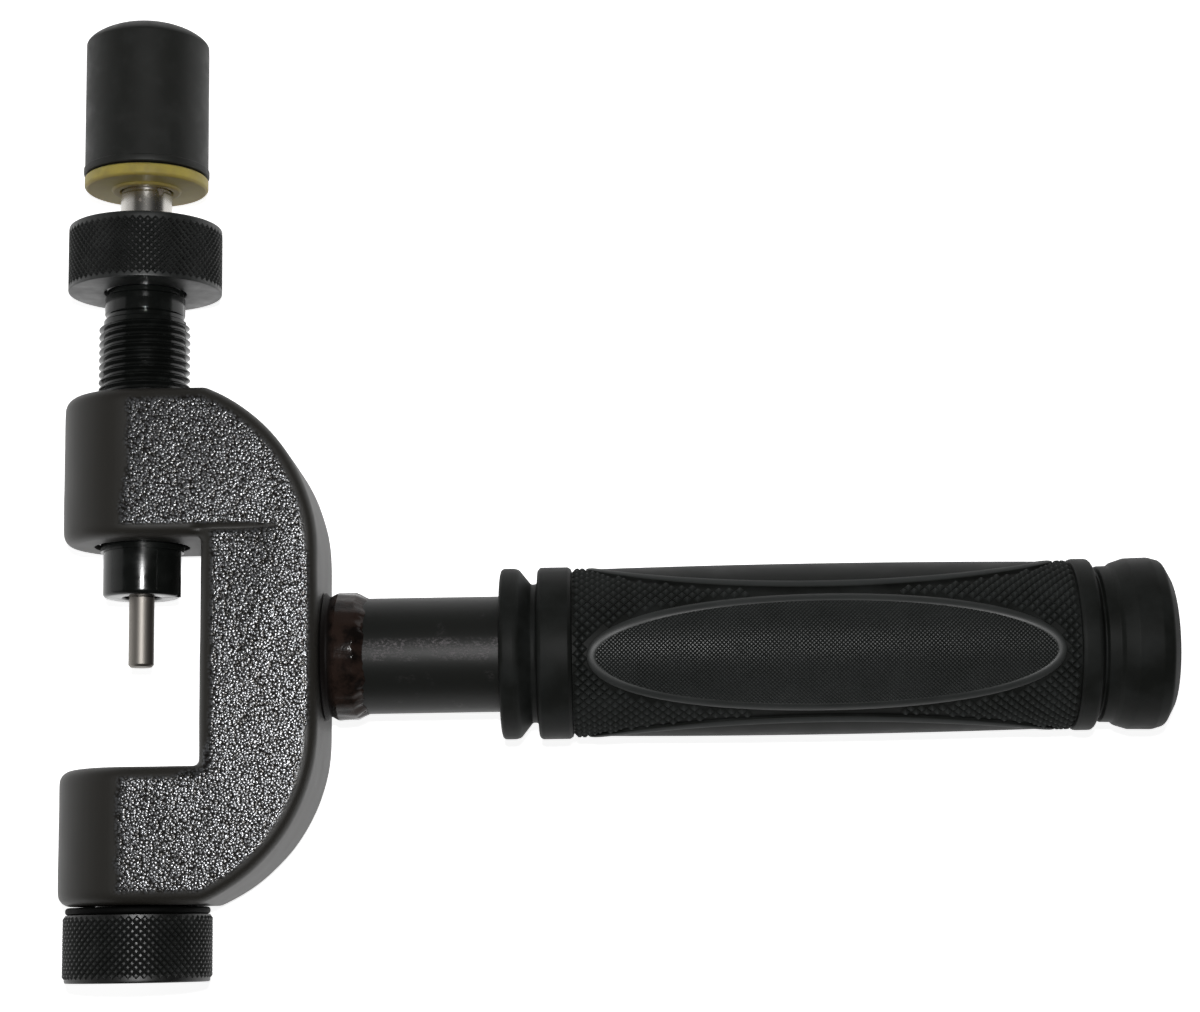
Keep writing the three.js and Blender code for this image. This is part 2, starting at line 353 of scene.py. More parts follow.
def screw_thread(bm: Mesh, axis: Axis, span: tuple[float, float], major: float, pitch: float,
                 steps: int = 72) -> None:
    """Makes a right-hand screw thread as a helical skin that runs out into the core at both ends.

    Args:
        bm: the mesh to add to.
        axis: the screw's axis.
        span: where the thread starts and ends along the axis.
        major: radius over the crests.
        pitch: advance in one turn.
        steps: flat sides round the axis.
    """
    depth = pitch * THREAD_DEPTH
    minor = major - depth
    shoulder = major - depth * 0.12
    tooth = ((0.0, minor), (0.13, minor), (0.40, shoulder), (0.46, major), (0.58, major),
             (0.64, shoulder), (0.91, minor))
    turns = int((span[1] - span[0]) / pitch)
    section = [(radius, span[0] + (turn + place) * pitch)
               for turn in range(turns) for place, radius in tooth]
    first = len(bm.verts)
    verts = [bm.verts.new(axis.point(radius, along)) for radius, along in section]
    edges = [bm.edges.new(pair) for pair in zip(verts, verts[1:])]
    bmesh.ops.spin(bm, geom=verts + edges, cent=axis.origin, axis=axis.direction, angle=FULL_TURN,
                   steps=steps, dvec=axis.direction * (pitch / steps), use_merge=False)
    bm.verts.ensure_lookup_table()
    skin = bm.verts[first:]
    bmesh.ops.remove_doubles(bm, verts=skin, dist=JOIN_DISTANCE)
    buried = minor - 0.3 * MM
    bm.verts.ensure_lookup_table()
    for vert in bm.verts[first:]:
        radius, along, _ = axis.measure(vert.co)
        shown = ease(along, span[0], span[0] + pitch) * ease(-along, -span[1], pitch - span[1])
        place_loop([vert], axis, buried + (radius - buried) * shown, along)
    ends, _ = extrude_edges(bm, open_edges(bm))
    for vert in ends:
        lower = axis.measure(vert.co)[1] < (span[0] + span[1]) / 2
        place_loop([vert], axis, buried - 0.2 * MM, span[0] if lower else span[1])
    bmesh.ops.remove_doubles(bm, verts=ends, dist=1e-5)
    bmesh.ops.bridge_loops(bm, edges=open_edges(bm))


def add_object(name: str, data: bpy.types.ID) -> Piece:
    """Makes an object of some data and links it to the scene."""
    made = bpy.data.objects.new(name, data)
    bpy.context.collection.objects.link(made)
    return made


def add_mesh(name: str, bm: Mesh) -> Piece:
    """Makes an object of a mesh, which is freed."""
    mesh = bpy.data.meshes.new(name)
    bm.to_mesh(mesh)
    bm.free()
    return add_object(name, mesh)


def drop(work: Piece) -> None:
    """Deletes a working object and its mesh."""
    mesh = work.data
    bpy.data.objects.remove(work)
    bpy.data.meshes.remove(mesh)


# ---- Finishes ------------------------------------------------------------------------------------


class Graph:
    """A short way to write a material's node tree."""

    def __init__(self, name: str) -> None:
        """Starts a material with a Principled shader."""
        self.material = bpy.data.materials.new(name)
        self.material.use_nodes = True
        self.tree = self.material.node_tree
        self.shader = self.tree.nodes["Principled BSDF"]
        self.place = self.node("ShaderNodeTexCoord").outputs["Object"]

    def feed(self, socket: Socket, value: object) -> None:
        """Links a socket to another node's output, or sets it to a value."""
        if isinstance(value, Socket):
            self.tree.links.new(value, socket)
        else:
            socket.default_value = value

    def node(self, kind: str, settings: dict | None = None, **inputs: object) -> bpy.types.Node:
        """Adds a node.

        Args:
            kind: the node's type.
            settings: the node's own properties.
            **inputs: a value or another node's output for each socket, with _ for a space.

        Returns:
            The new node.
        """
        made = self.tree.nodes.new(kind)
        for key, value in (settings or {}).items():
            setattr(made, key, value)
        for key, value in inputs.items():
            self.feed(made.inputs[key.replace("_", " ")], value)
        return made

    def set(self, **values: object) -> None:
        """Sets the shader's own sockets to values or links them to outputs."""
        for key, value in values.items():
            self.feed(self.shader.inputs[key.replace("_", " ")], value)

    def math(self, operation: str, first: object, second: object = 0.0) -> Socket:
        """Adds a Math node and returns its output."""
        made = self.node("ShaderNodeMath", {"operation": operation})
        for socket, value in zip(made.inputs, (first, second)):
            self.feed(socket, value)
        return made.outputs[0]

    def noise(self, size: float, detail: float = 3.0, roughness: float = 0.55,
              stretch: tuple[float, float, float] = (1, 1, 1)) -> Socket:
        """A noise value whose features are about `size` metres across.

        Args:
            size: width of the features, in metres.
            detail: number of finer layers.
            roughness: strength of the finer layers.
            stretch: how much longer the features are along each axis.

        Returns:
            The noise output, about 0.5 on average.
        """
        scale = tuple(1 / (size * axis) for axis in stretch)
        mapping = self.node("ShaderNodeMapping", Vector=self.place, Scale=scale)
        return self.node("ShaderNodeTexNoise", Vector=mapping.outputs[0], Scale=1.0, Detail=detail,
                         Roughness=roughness).outputs[0]

    def attribute(self, name: str) -> Socket:
        """A value that is stored on the mesh's vertices."""
        return self.node("ShaderNodeAttribute", {"attribute_name": name}).outputs["Fac"]

    def coordinate(self, name: str) -> Socket:
        """One of the object coordinates: X, Y or Z, in metres."""
        return self.node("ShaderNodeSeparateXYZ", Vector=self.place).outputs[name]

    def domes(self, size: float) -> Socket:
        """A height of packed round bumps, about `size` metres across: 1 on their tops."""
        warp = self.node("ShaderNodeTexNoise", Vector=self.place, Scale=0.5 / size,
                         Detail=1.0).outputs["Color"]
        spread = self.node("ShaderNodeVectorMath", {"operation": "SCALE"}, Vector=warp,
                           Scale=size * 0.5)
        moved = self.node("ShaderNodeVectorMath", {"operation": "ADD"})
        self.tree.links.new(self.place, moved.inputs[0])
        self.tree.links.new(spread.outputs[0], moved.inputs[1])
        cells = self.node("ShaderNodeTexVoronoi", Vector=moved.outputs[0], Scale=1 / size,
                          Randomness=1.0)
        return self.math("SUBTRACT", 1.0, self.math("POWER", cells.outputs["Distance"], 1.6))

    def ramp(self, value: Socket, low: float, high: float, start: float = 0.0,
             end: float = 1.0) -> Socket:
        """Maps low..high to start..end, held at both ends."""
        return self.node("ShaderNodeMapRange", Value=value, From_Min=low, From_Max=high,
                         To_Min=start, To_Max=end).outputs[0]

    def blend(self, amount: Socket, first: object, second: object) -> Socket:
        """Mixes two colours."""
        made = self.node("ShaderNodeMix", {"data_type": "RGBA"})
        for name, value in (("Factor_Float", amount), ("A_Color", first), ("B_Color", second)):
            self.feed(next(s for s in made.inputs if s.identifier == name), value)
        return next(s for s in made.outputs if s.identifier == "Result_Color")

    def bump(self, height: Socket, distance: float, strength: float = 1.0) -> None:
        """Lays a bump on the shader: height 1 stands `distance` metres over height 0."""
        made = self.node("ShaderNodeBump", Height=height, Strength=strength, Distance=distance)
        self.set(Normal=made.outputs[0])


def shade(red: float, green: float, blue: float) -> tuple[float, float, float, float]:
    """A colour with full alpha."""
    return (red, green, blue, 1.0)


@dataclass(frozen=True)
class HammeredPaint:
    """Dark brown-black paint: pebbled and glinting on the cast sides, with painted shade darkening
    the hollows between the pebbles, satin on the worked edges.
    """

    edge: tuple = shade(0.0165, 0.0150, 0.0120)
    base: tuple = shade(0.115, 0.118, 0.124)
    # Colour of the hollows between the pebbles: painted shade.
    painted_pit_shade: tuple = shade(0.020, 0.0185, 0.0165)
    metallic: float = 0.6
    pebble: float = 0.52 * MM
    height: float = 0.085 * MM
    cast_mask: str = "cast_side"

    def build(self) -> Material:
        """Makes the material."""
        g = Graph("hammered_paint")
        cast = g.attribute(self.cast_mask)
        pebbles = g.domes(self.pebble)
        grit = g.noise(self.pebble * 0.6, detail=1.0)
        height = g.math("ADD", pebbles, g.math("MULTIPLY", grit, 0.35))
        skin = g.math("MULTIPLY", g.noise(1.6 * MM, detail=3.0), 0.02)
        g.bump(g.math("ADD", g.math("MULTIPLY", height, cast), skin), self.height)
        # The hollows between the pebbles take the pit colour: painted shade standing in for the
        # shade that the shallow bumps don't cast.
        tone = g.blend(g.ramp(pebbles, 0.45, 0.85), self.painted_pit_shade, self.base)
        g.set(Base_Color=g.blend(cast, self.edge, tone),
              Roughness=g.ramp(cast, 0.0, 1.0, 0.48, 0.25),
              Metallic=g.math("MULTIPLY", cast, self.metallic), Specular_IOR_Level=0.5)
        return g.material


@dataclass(frozen=True)
class TurnedBlack:
    """Black oxide on turned steel, with faint turning rings and oil, and painted shade in the
    knurl's grooves.
    """

    name: str
    base: tuple = shade(0.0062, 0.0070, 0.0064)
    worn: tuple = shade(0.013, 0.0145, 0.0135)
    roughness: float = 0.14
    specular: float = 0.43
    ring_axis: int = 1
    ring_height: float = 0.004 * MM
    # Colour of the knurl's grooves: painted shade, darker than the oxide.
    groove: tuple = shade(0.0030, 0.0034, 0.0031)
    groove_shade_mask: str = "knurl_groove_shade"

    def build(self) -> Material:
        """Makes the material."""
        g = Graph(self.name)
        stretch = tuple(1.0 if i == self.ring_axis else 60.0 for i in range(3))
        rings = g.noise(0.22 * MM, detail=2.0, stretch=stretch)
        wear = g.noise(3.5 * MM, detail=4.0)
        g.bump(rings, self.ring_height)
        tone = g.blend(g.ramp(wear, 0.5, 0.78), self.base, self.worn)
        # The knurl's grooves are darkened: painted shade in the recesses.
        grooves = g.attribute(self.groove_shade_mask)
        g.set(Base_Color=g.blend(grooves, tone, self.groove),
              Roughness=g.ramp(wear, 0.3, 0.7, self.roughness - 0.05, self.roughness + 0.1),
              Specular_IOR_Level=self.specular)
        return g.material


@dataclass(frozen=True)
class TubePaint:
    """Satin black paint with pale scuff specks, most of them along the tube's top line where the
    lamp's highlight falls: scuffs and painted highlight.
    """

    base: tuple = shade(0.0125, 0.0132, 0.0120)
    # Pale speck colour: real scuffs, and painted glints along the highlight line.
    scuff_and_glint: tuple = shade(0.15, 0.137, 0.143)
    scuff_and_highlight_band: tuple[float, float] = (10.84 * MM, 11.03 * MM)

    def build(self) -> Material:
        """Makes the material."""
        g = Graph("satin_tube_paint")
        specks = g.noise(0.34 * MM, detail=4.0, roughness=0.7, stretch=(1.6, 1, 1))
        patches = g.noise(4.5 * MM, detail=3.0)
        # Along the tube's top line, where the lamp's highlight falls, the pale specks gather: scuffs
        # plus painted highlight glints.
        line = g.ramp(g.coordinate("Z"), HANDLE.origin.z + self.scuff_and_highlight_band[0],
                      HANDLE.origin.z + self.scuff_and_highlight_band[1])
        near = g.math("MULTIPLY", line, g.ramp(patches, 0.40, 0.62))
        rare = g.math("MULTIPLY", g.ramp(patches, 0.62, 0.75), 0.2)
        specks_and_glints = g.math("MULTIPLY", g.ramp(specks, 0.47, 0.62), g.math("MAXIMUM", near, rare))
        g.bump(g.noise(1.4 * MM, detail=4.0), 0.012 * MM)
        g.set(Base_Color=g.blend(specks_and_glints, self.base, self.scuff_and_glint), Specular_IOR_Level=0.2,
              Roughness=g.math("ADD", g.math("MULTIPLY", specks_and_glints, 0.2), 0.42))
        return g.material


@dataclass(frozen=True)
class WeldPaint:
    """Reddish black paint pooled over the weld, with random dark patches and painted shade darkening
    the bead's root where it meets the spine.
    """

    base: tuple = shade(0.024, 0.0150, 0.0120)
    # Dark colour for random patches, and painted shade at the bead's root.
    patch_and_root_shade: tuple = shade(0.006, 0.0045, 0.004)
    root: float = 2.2 * MM

    def build(self) -> Material:
        """Makes the material."""
        g = Graph("weld_paint")
        start = Box.of("handle_weld").low.x
        patches = g.noise(3.2 * MM, detail=4.0)
        # Near the spine the bead is turned dark: painted shade in the crevice where the bead meets
        # the spine.
        away = g.ramp(g.coordinate("X"), start + self.root * 0.5, start + self.root)
        shown = g.math("MULTIPLY", away, g.ramp(patches, 0.36, 0.55))
        g.bump(g.noise(1.1 * MM, detail=4.0), 0.05 * MM)
        g.set(Base_Color=g.blend(shown, self.patch_and_root_shade, self.base),
              Roughness=g.ramp(away, 0.0, 1.0, 0.6, 0.17), Specular_IOR_Level=0.13)
        return g.material


@dataclass(frozen=True)
class MouldedRubber:
    """Black moulded grip rubber with a fine mould grain, grey bloom, and painted highlight on its
    crests.
    """

    name: str = "grip_rubber"
    specular: float = 0.1
    roughness: float = 0.48
    base: tuple = shade(0.0082, 0.0090, 0.0080)
    bloom: tuple = shade(0.0165, 0.0180, 0.0172)
    # Lighter colour for the crests of studs, diamonds and bead: painted highlight.
    crest_highlight: tuple = shade(0.052, 0.056, 0.055)
    grain: float = 0.18 * MM
    crest_highlight_mask: str = "painted_crest_highlight"

    def build(self) -> Material:
        """Makes the material."""
        g = Graph(self.name)
        g.bump(g.noise(self.grain, detail=2.0), 0.006 * MM)
        cloud = g.noise(7 * MM, detail=4.0)
        # Crests are lightened: painted highlight on the raised tops.
        crests = g.attribute(self.crest_highlight_mask)
        tone = g.blend(g.ramp(cloud, 0.4, 0.75), self.base, self.bloom)
        g.set(Base_Color=g.blend(crests, tone, self.crest_highlight), Specular_IOR_Level=self.specular,
              Roughness=g.ramp(cloud, 0.3, 0.7, self.roughness, self.roughness + 0.12))
        return g.material


@dataclass(frozen=True)
class Steel:
    """Bare turned steel with rust stains."""

    name: str
    base: tuple = shade(0.62, 0.60, 0.565)
    stain: tuple = shade(0.16, 0.085, 0.045)
    roughness: float = 0.27
    stain_level: float = 0.62
    stain_size: float = 2.6 * MM

    def build(self) -> Material:
        """Makes the material."""
        g = Graph(self.name)
        rings = g.noise(0.16 * MM, detail=2.0, stretch=(60, 1, 60))
        rust = g.ramp(g.noise(self.stain_size, detail=5.0, roughness=0.65), self.stain_level,
                      self.stain_level + 0.12)
        g.bump(rings, 0.003 * MM)
        g.set(Base_Color=g.blend(rust, self.base, self.stain),
              Metallic=g.ramp(rust, 0.0, 1.0, 1.0, 0.35),
              Roughness=g.math("ADD", g.math("MULTIPLY", rust, 0.35), self.roughness))
        return g.material


@dataclass(frozen=True)
class Urethane:
    """Yellow-olive cast urethane, cloudy and a little translucent, with painted shade darkening its
    lower face.
    """

    base: tuple = shade(0.44, 0.36, 0.085)
    cloudy: tuple = shade(0.35, 0.285, 0.080)
    # Colour of the lower face: painted shade.
    lower_face_shade: tuple = shade(0.24, 0.185, 0.052)

    def build(self) -> Material:
        """Makes the material."""
        g = Graph("urethane")
        cloud = g.noise(3.0 * MM, detail=4.0)
        g.bump(g.noise(0.7 * MM, detail=3.0), 0.02 * MM)
        low = Box.of("bumper_washer").low.y
        # Darker towards the lower face: painted shade between the bumper and the screw's knob.
        above_lower_shade = g.ramp(g.coordinate("Y"), low + 0.2 * MM, low + 1.1 * MM)
        tone = g.blend(g.ramp(cloud, 0.35, 0.65), self.cloudy, self.base)
        g.set(Base_Color=g.blend(above_lower_shade, self.lower_face_shade, tone), Roughness=0.45,
              Subsurface_Weight=0.35, Subsurface_Radius=(0.003, 0.0022, 0.0006),
              Subsurface_Scale=1.0, Specular_IOR_Level=0.25)
        return g.material


class Slot(Enum):
    """The record's material slots."""

    HAMMERED = "hammered_paint"
    GLOSS = "gloss_black_paint"
    GRIP = "grip_rubber"
    SEAL = "seal_rubber"
    OXIDE = "black_oxide"
    BRIGHT = "bright_steel"
    PIN = "pin_steel"
    CAP = "cap_black"
    URETHANE = "urethane"


class Body(Enum):
    """The moving bodies that pieces ride on."""

    FRAME = "frame"
    CARRIER = "clamp_carrier"
    CLAMP = "clamp_screw"
    PLUNGER = "plunger"
    ANVIL_CARRIER = "anvil_carrier"
    ANVIL = "anvil"


class Palette:
    """Every finish, made once."""

    def __init__(self) -> None:
        """Builds each slot's material."""
        self.materials = {
            Slot.HAMMERED: HammeredPaint().build(),
            Slot.GLOSS: TubePaint().build(),
            Slot.GRIP: MouldedRubber().build(),
            Slot.SEAL: TurnedBlack("seal_rubber", base=shade(0.003, 0.0032, 0.003), roughness=0.3,
                                   specular=0.3).build(),
            Slot.OXIDE: TurnedBlack("black_oxide").build(),
            Slot.BRIGHT: Steel("bright_steel").build(),
            Slot.PIN: Steel("pin_steel", base=shade(0.30, 0.28, 0.255), roughness=0.52,
                            stain_level=0.66).build(),
            Slot.CAP: TurnedBlack("cap_black", base=shade(0.0130, 0.0138, 0.0122),
                                  worn=shade(0.019, 0.020, 0.0185), roughness=0.52,
                                  specular=0.35).build(),
            Slot.URETHANE: Urethane().build(),
        }
        self.weld = WeldPaint().build()
        # Near-black, dull finish for the lock ring: painted shade in the gap between the frame and
        # the anvil knob.
        self.ring = TurnedBlack("ring_black_shade", base=shade(0.0015, 0.0016, 0.0015),
                                worn=shade(0.002, 0.002, 0.002), roughness=0.6,
                                specular=0.08).build()
        # The pad's crest colour is a painted highlight on its diamonds and bead.
        self.pad = MouldedRubber("pad_rubber", specular=0.42, roughness=0.40,
                                 crest_highlight=shade(0.034, 0.037, 0.036)).build()
        self.knurl = TurnedBlack("knurled_black", base=shade(0.0150, 0.0165, 0.0156),
                                 worn=shade(0.022, 0.024, 0.023), roughness=0.40,
                                 specular=0.6).build()


@dataclass(frozen=True)
class Maker:
    """Turns finished meshes into pieces of the object."""

    palette: Palette

    def piece(self, bm: Mesh, name: str, body: Body, slot: Slot, nodes: Sequence[str] = (),
              sharp_angle: float = 35.0, material: Material | None = None) -> Piece:
        """Makes an object of a mesh, dresses it, and ties it to the frame.

        Args:
            bm: the finished mesh, which is freed.
            name: the piece's name.
            body: the body that it rides on.
            slot: its material slot in the record.
            nodes: the CAD nodes that it stands for.
            sharp_angle: edges that turn by more than this, in degrees, are shaded sharp.
            material: a finish other than the slot's usual one.

        Returns:
            The new object.
        """
        made = add_mesh(name, bm)
        mesh = made.data
        mesh.shade_smooth()
        mesh.set_sharp_from_angle(angle=math.radians(sharp_angle))
        mesh.materials.append(material or self.palette.materials[slot])
        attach(made, body.value)
        if nodes:
            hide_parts(*nodes)
        LOG.info("%s: %d faces on %s", name, len(mesh.polygons), body.value)
        return made

    def turned(self, name: str, body: Body, slot: Slot, node: str, corners: Sequence[Corner],
               material: Material | None = None) -> Piece:
        """Makes a piece turned about the spindle.

        Args:
            name: the piece's name.
            body: the body that it rides on.
            slot: its material slot in the record.
            node: the CAD node that it stands for.
            corners: (radius, y, fillet) of each corner of its section.
            material: a finish other than the slot's usual one.

        Returns:
            The new object.
        """
        bm = bmesh.new()
        spin_section(bm, SPINDLE, rounded(corners))
        return self.piece(bm, name, body, slot, [node], material=material)


# ---- Solid helpers for the casting ---------------------------------------------------------------


@dataclass(frozen=True)
class Arc:
    """Part of an outline: an arc from a point about a centre."""

    start: Vector
    centre: Vector
    sweep: float
    steps: int = 12


def fill_outline(bm: Mesh, path: Sequence[Vector | Arc], normal: Vector) -> Face:
    """Makes one flat face from points and arcs.

    Args:
        bm: the mesh to add to.
        path: the outline's corners and arcs, in order.
        normal: the axis that the arcs turn about.

    Returns:
        The new face.
    """
    chain: list[Vert] = []
    for part in path:
        if isinstance(part, Arc):
            tail = bm.verts.new(part.start)
            chain.append(tail)
            for _ in range(part.steps):
                spun = bmesh.ops.spin(bm, geom=[tail], cent=part.centre, axis=normal, steps=1,
                                      angle=part.sweep / part.steps, use_merge=False)
                tail = only(Vert, spun["geom_last"])[0]
                chain.append(tail)
        else:
            chain.append(bm.verts.new(part))
    return bm.faces.new(chain)


def slab(path: Sequence[Vector | Arc], normal: Vector, thickness: float, edge: float) -> Mesh:
    """Makes a plate from an outline, with the rims of both sides rounded.

    Args:
        path: the outline's corners and arcs.
        normal: the direction that the plate is thickened in.
        thickness: the plate's thickness.
        edge: radius of the rounded rims.

    Returns:
        A new mesh.
    """
    bm = bmesh.new()
    face = fill_outline(bm, path, normal)
    grown = bmesh.ops.extrude_face_region(bm, geom=[face], use_keep_orig=True)["geom"]
    moved = only(Vert, grown)
    bmesh.ops.translate(bm, verts=moved, vec=normal * thickness)
    bmesh.ops.remove_doubles(bm, verts=bm.verts, dist=MERGE_DISTANCE)
    bmesh.ops.recalc_face_normals(bm, faces=bm.faces)
    rims = [e for e in bm.edges
            if all(abs((v.co - e.verts[0].co).dot(normal)) < MERGE_DISTANCE for v in e.verts)]
    bmesh.ops.bevel(bm, geom=rims, offset=edge, offset_type="OFFSET", segments=5, profile=0.5,
                    affect="EDGES", material=-1, clamp_overlap=False)
    return bm


def reshape(bm: Mesh, kind: str, **settings: object) -> Mesh:
    """Runs a mesh through one modifier.

    Args:
        bm: the mesh, which is freed.
        kind: the modifier's type.
        **settings: its properties.

    Returns:
        A new mesh.
    """
    work = add_mesh("work", bm)
    modifier = work.modifiers.new("shape", kind)
    for key, value in settings.items():
        setattr(modifier, key, value)
    bpy.context.view_layer.update()
    evaluated = work.evaluated_get(bpy.context.evaluated_depsgraph_get())
    result = bpy.data.meshes.new_from_object(evaluated)
    shaped = bmesh.new()
    shaped.from_mesh(result)
    drop(work)
    bpy.data.meshes.remove(result)
    return shaped


def combine(first: Mesh, second: Mesh, operation: str) -> Mesh:
    """Joins, cuts or intersects two closed meshes.

    Args:
        first: the mesh that is changed.
        second: the mesh that changes it.
        operation: UNION, DIFFERENCE or INTERSECT.

    Returns:
        A new mesh. Both given meshes are freed.
    """
    cutter = add_mesh("tool", second)
    result = reshape(first, "BOOLEAN", operation=operation, solver="EXACT", object=cutter)
    drop(cutter)
    return result


# ---- Frame and handle ----------------------------------------------------------------------------


@dataclass(frozen=True)
class FrameCasting:
    """The C-shaped casting: two arms with half-round ends, a spine and rounded back corners."""

    maker: Maker
    box: Box = field(default_factory=lambda: Box.of("c_frame"))
    upper_arm: float = 29.0 * MM
    lower_arm: float = 25.7 * MM
    spine_inner: float = 13.2 * MM
    back_radius: float = 35.0 * MM
    back_rise: float = 32.3 * MM
    mouth_corner: float = 0.5 * MM
    edge: float = 2.4 * MM
    bore: float = 9.15 * MM
    voxel: float = 0.47 * MM
    grain: float = 1.1 * MM
    grain_height: float = 0.045 * MM
    spine_recess: float = 0.35 * MM
    crease_depth: float = 0.35 * MM

    @property
    def mouth(self) -> tuple[float, float]:
        """The y of the mouth's lower and upper faces."""
        return self.box.low.y + self.lower_arm, self.box.high.y - self.upper_arm

    @property
    def back_centres(self) -> tuple[Vector, Vector]:
        """The centres of the lower and upper back corners."""
        x = self.box.high.x - self.back_radius
        return (Vector((x, self.box.low.y + self.back_rise, self.box.low.z)),
                Vector((x, self.box.high.y - self.back_rise, self.box.low.z)))

    def outline(self) -> list[Vector | Arc]:
        """The casting seen from its flat side."""
        low, high = self.box.low, self.box.high
        mouth_low, mouth_high = self.mouth
        inner = SPINDLE.origin.x + self.spine_inner
        lower, upper = self.back_centres
        rise = math.asin(self.back_rise / self.back_radius)
        reach = Vector((math.cos(rise), -math.sin(rise), 0)) * self.back_radius
        r = self.mouth_corner
        quarter = -math.pi / 2
        return [
            Vector((low.x, mouth_low, low.z)),
            Vector((low.x, low.y, low.z)),
            Arc(lower + reach, lower, rise, 24),
            Arc(upper + Vector((self.back_radius, 0, 0)), upper, rise, 24),
            Vector((low.x, high.y, low.z)),
            Vector((low.x, mouth_high, low.z)),
            Arc(Vector((inner - r, mouth_high, low.z)),
                Vector((inner - r, mouth_high - r, low.z)), quarter, 4),
            Arc(Vector((inner, mouth_low + r, low.z)),
                Vector((inner - r, mouth_low + r, low.z)), quarter, 4),
        ]

    def column(self, start: float, end: float) -> Mesh:
        """One arm seen along the spindle: straight sides, a half-round end and rounded rims."""
        radius = self.box.size.z / 2
        side = radius + 0.4 * MM
        x, z = SPINDLE.origin.x, SPINDLE.origin.z
        far = self.box.high.x + 10 * MM
        path = [
            Vector((far, start, z + side)),
            Vector((x + 0.4 * MM, start, z + side)),
            Arc(Vector((x, start, z + radius)), Vector((x, start, z)), -math.pi, 32),
            Vector((x + 0.4 * MM, start, z - side)),
            Vector((far, start, z - side)),
        ]
        return slab(path, Vector((0, 1, 0)), end - start, self.edge)

    def spine_block(self) -> Mesh:
        """The full-width block behind the arms."""
        bm = bmesh.new()
        bmesh.ops.create_cube(bm, size=1)
        start = SPINDLE.origin.x + 6 * MM
        end = self.box.high.x + 12 * MM
        size = Vector((end - start, self.box.size.y - 0.2 * MM, self.box.size.z + 2 * MM))
        centre = Vector(((start + end) / 2, self.box.centre.y, self.box.centre.z))
        place = Matrix.Translation(centre) @ Matrix.Diagonal(size).to_4x4()
        bmesh.ops.transform(bm, matrix=place, verts=bm.verts)
        return bm

    def margin(self, x: float, y: float) -> float:
        """How far a point of the flat side lies inside the outline."""
        mouth_low, mouth_high = self.mouth
        lower, upper = self.back_centres
        outer = min(self.box.high.y - y, y - self.box.low.y, self.box.high.x + 0.7 * MM - x)
        centre = upper if y > upper.y else lower if y < lower.y else None
        if centre is not None and x > centre.x:
            outer = min(outer, self.back_radius - math.hypot(x - centre.x, y - centre.y))
        across = max(x - SPINDLE.origin.x - self.spine_inner, 0.0)
        rise = max(y - mouth_high, mouth_low - y, 0.0)
        return min(outer, math.hypot(across, rise))

    def cast_amount(self, point: Vector) -> float:
        """How rough the casting is at a point: 1 on its flat sides, 0 on its worked edges and, as
        painted shade, along the crease under the upper arm.
        """
        half = self.box.size.z / 2
        side = ease(abs(point.z - self.box.centre.z), half - 1.5 * MM, half - 0.9 * MM)
        if side <= 0:
            return 0.0
        wander = noise.noise(point * 420) * 0.7 * MM
        left = SPINDLE.origin.x - (1.2 * MM if point.y > 0 else 2.2 * MM) + wander
        corner = Vector((SPINDLE.origin.x + self.spine_inner, self.mouth[0]))
        near_corner = 1 - ease((point.xy - corner).length, 1.5 * MM, 6 * MM)
        inside = ease(self.margin(point.x, point.y) + wander * 0.4 + near_corner * 1.3 * MM,
                      1.8 * MM, 2.7 * MM)
        # Along the crease under the upper arm's flat the grain is taken off, leaving the dark edge
        # finish: painted shade along the crease, beside its real groove.
        reach = self.crease_reach(point.x)
        off_crease = ease(abs(point.y - self.mouth[1] - 1.7 * MM), 0.45 * MM * reach,
                          0.9 * MM * reach + 1e-6)
        return side * inside * ease(point.x, left, left + 1.2 * MM) * off_crease

    def crease_reach(self, x: float) -> float:
        """How strong the crease under the upper arm's flat is at a place across the spine."""
        inner = SPINDLE.origin.x + self.spine_inner
        return 1 - ease(x, inner + 7 * MM, inner + 16 * MM)

    def recess(self, point: Vector) -> float:
        """How far the spine's flat lies below the upper arm's, at a point."""
        _, mouth_high = self.mouth
        inner = SPINDLE.origin.x + self.spine_inner
        below = ease(mouth_high + 2.2 * MM - point.y, 0.0, 0.9 * MM)
        fade = 1 - ease(mouth_high - point.y, 2 * MM, 26 * MM)
        groove = 1 - ease(abs(point.y - mouth_high - 1.6 * MM), 0.1 * MM, 0.8 * MM)
        depth = self.spine_recess * below * fade + self.crease_depth * groove
        shown = ease(point.x, inner - 2.5 * MM, inner + 0.5 * MM)
        return depth * self.crease_reach(point.x) * shown

    def sharpen(self, point: Vector) -> None:
        """Presses what smoothing left in the mouth's inner corners back onto the mouth's walls."""
        low, high = self.mouth
        across = SPINDLE.origin.x + self.spine_inner - point.x
        rise = min(high - point.y, point.y - low)
        reach = 2.0 * MM
        flat = abs(point.z - self.box.centre.z) < self.box.size.z / 2 - self.edge
        if flat and 0 < across < reach and 0 < rise < reach:
            if across < rise:
                point.x += across
            else:
                point.y = high if high - point.y == rise else low

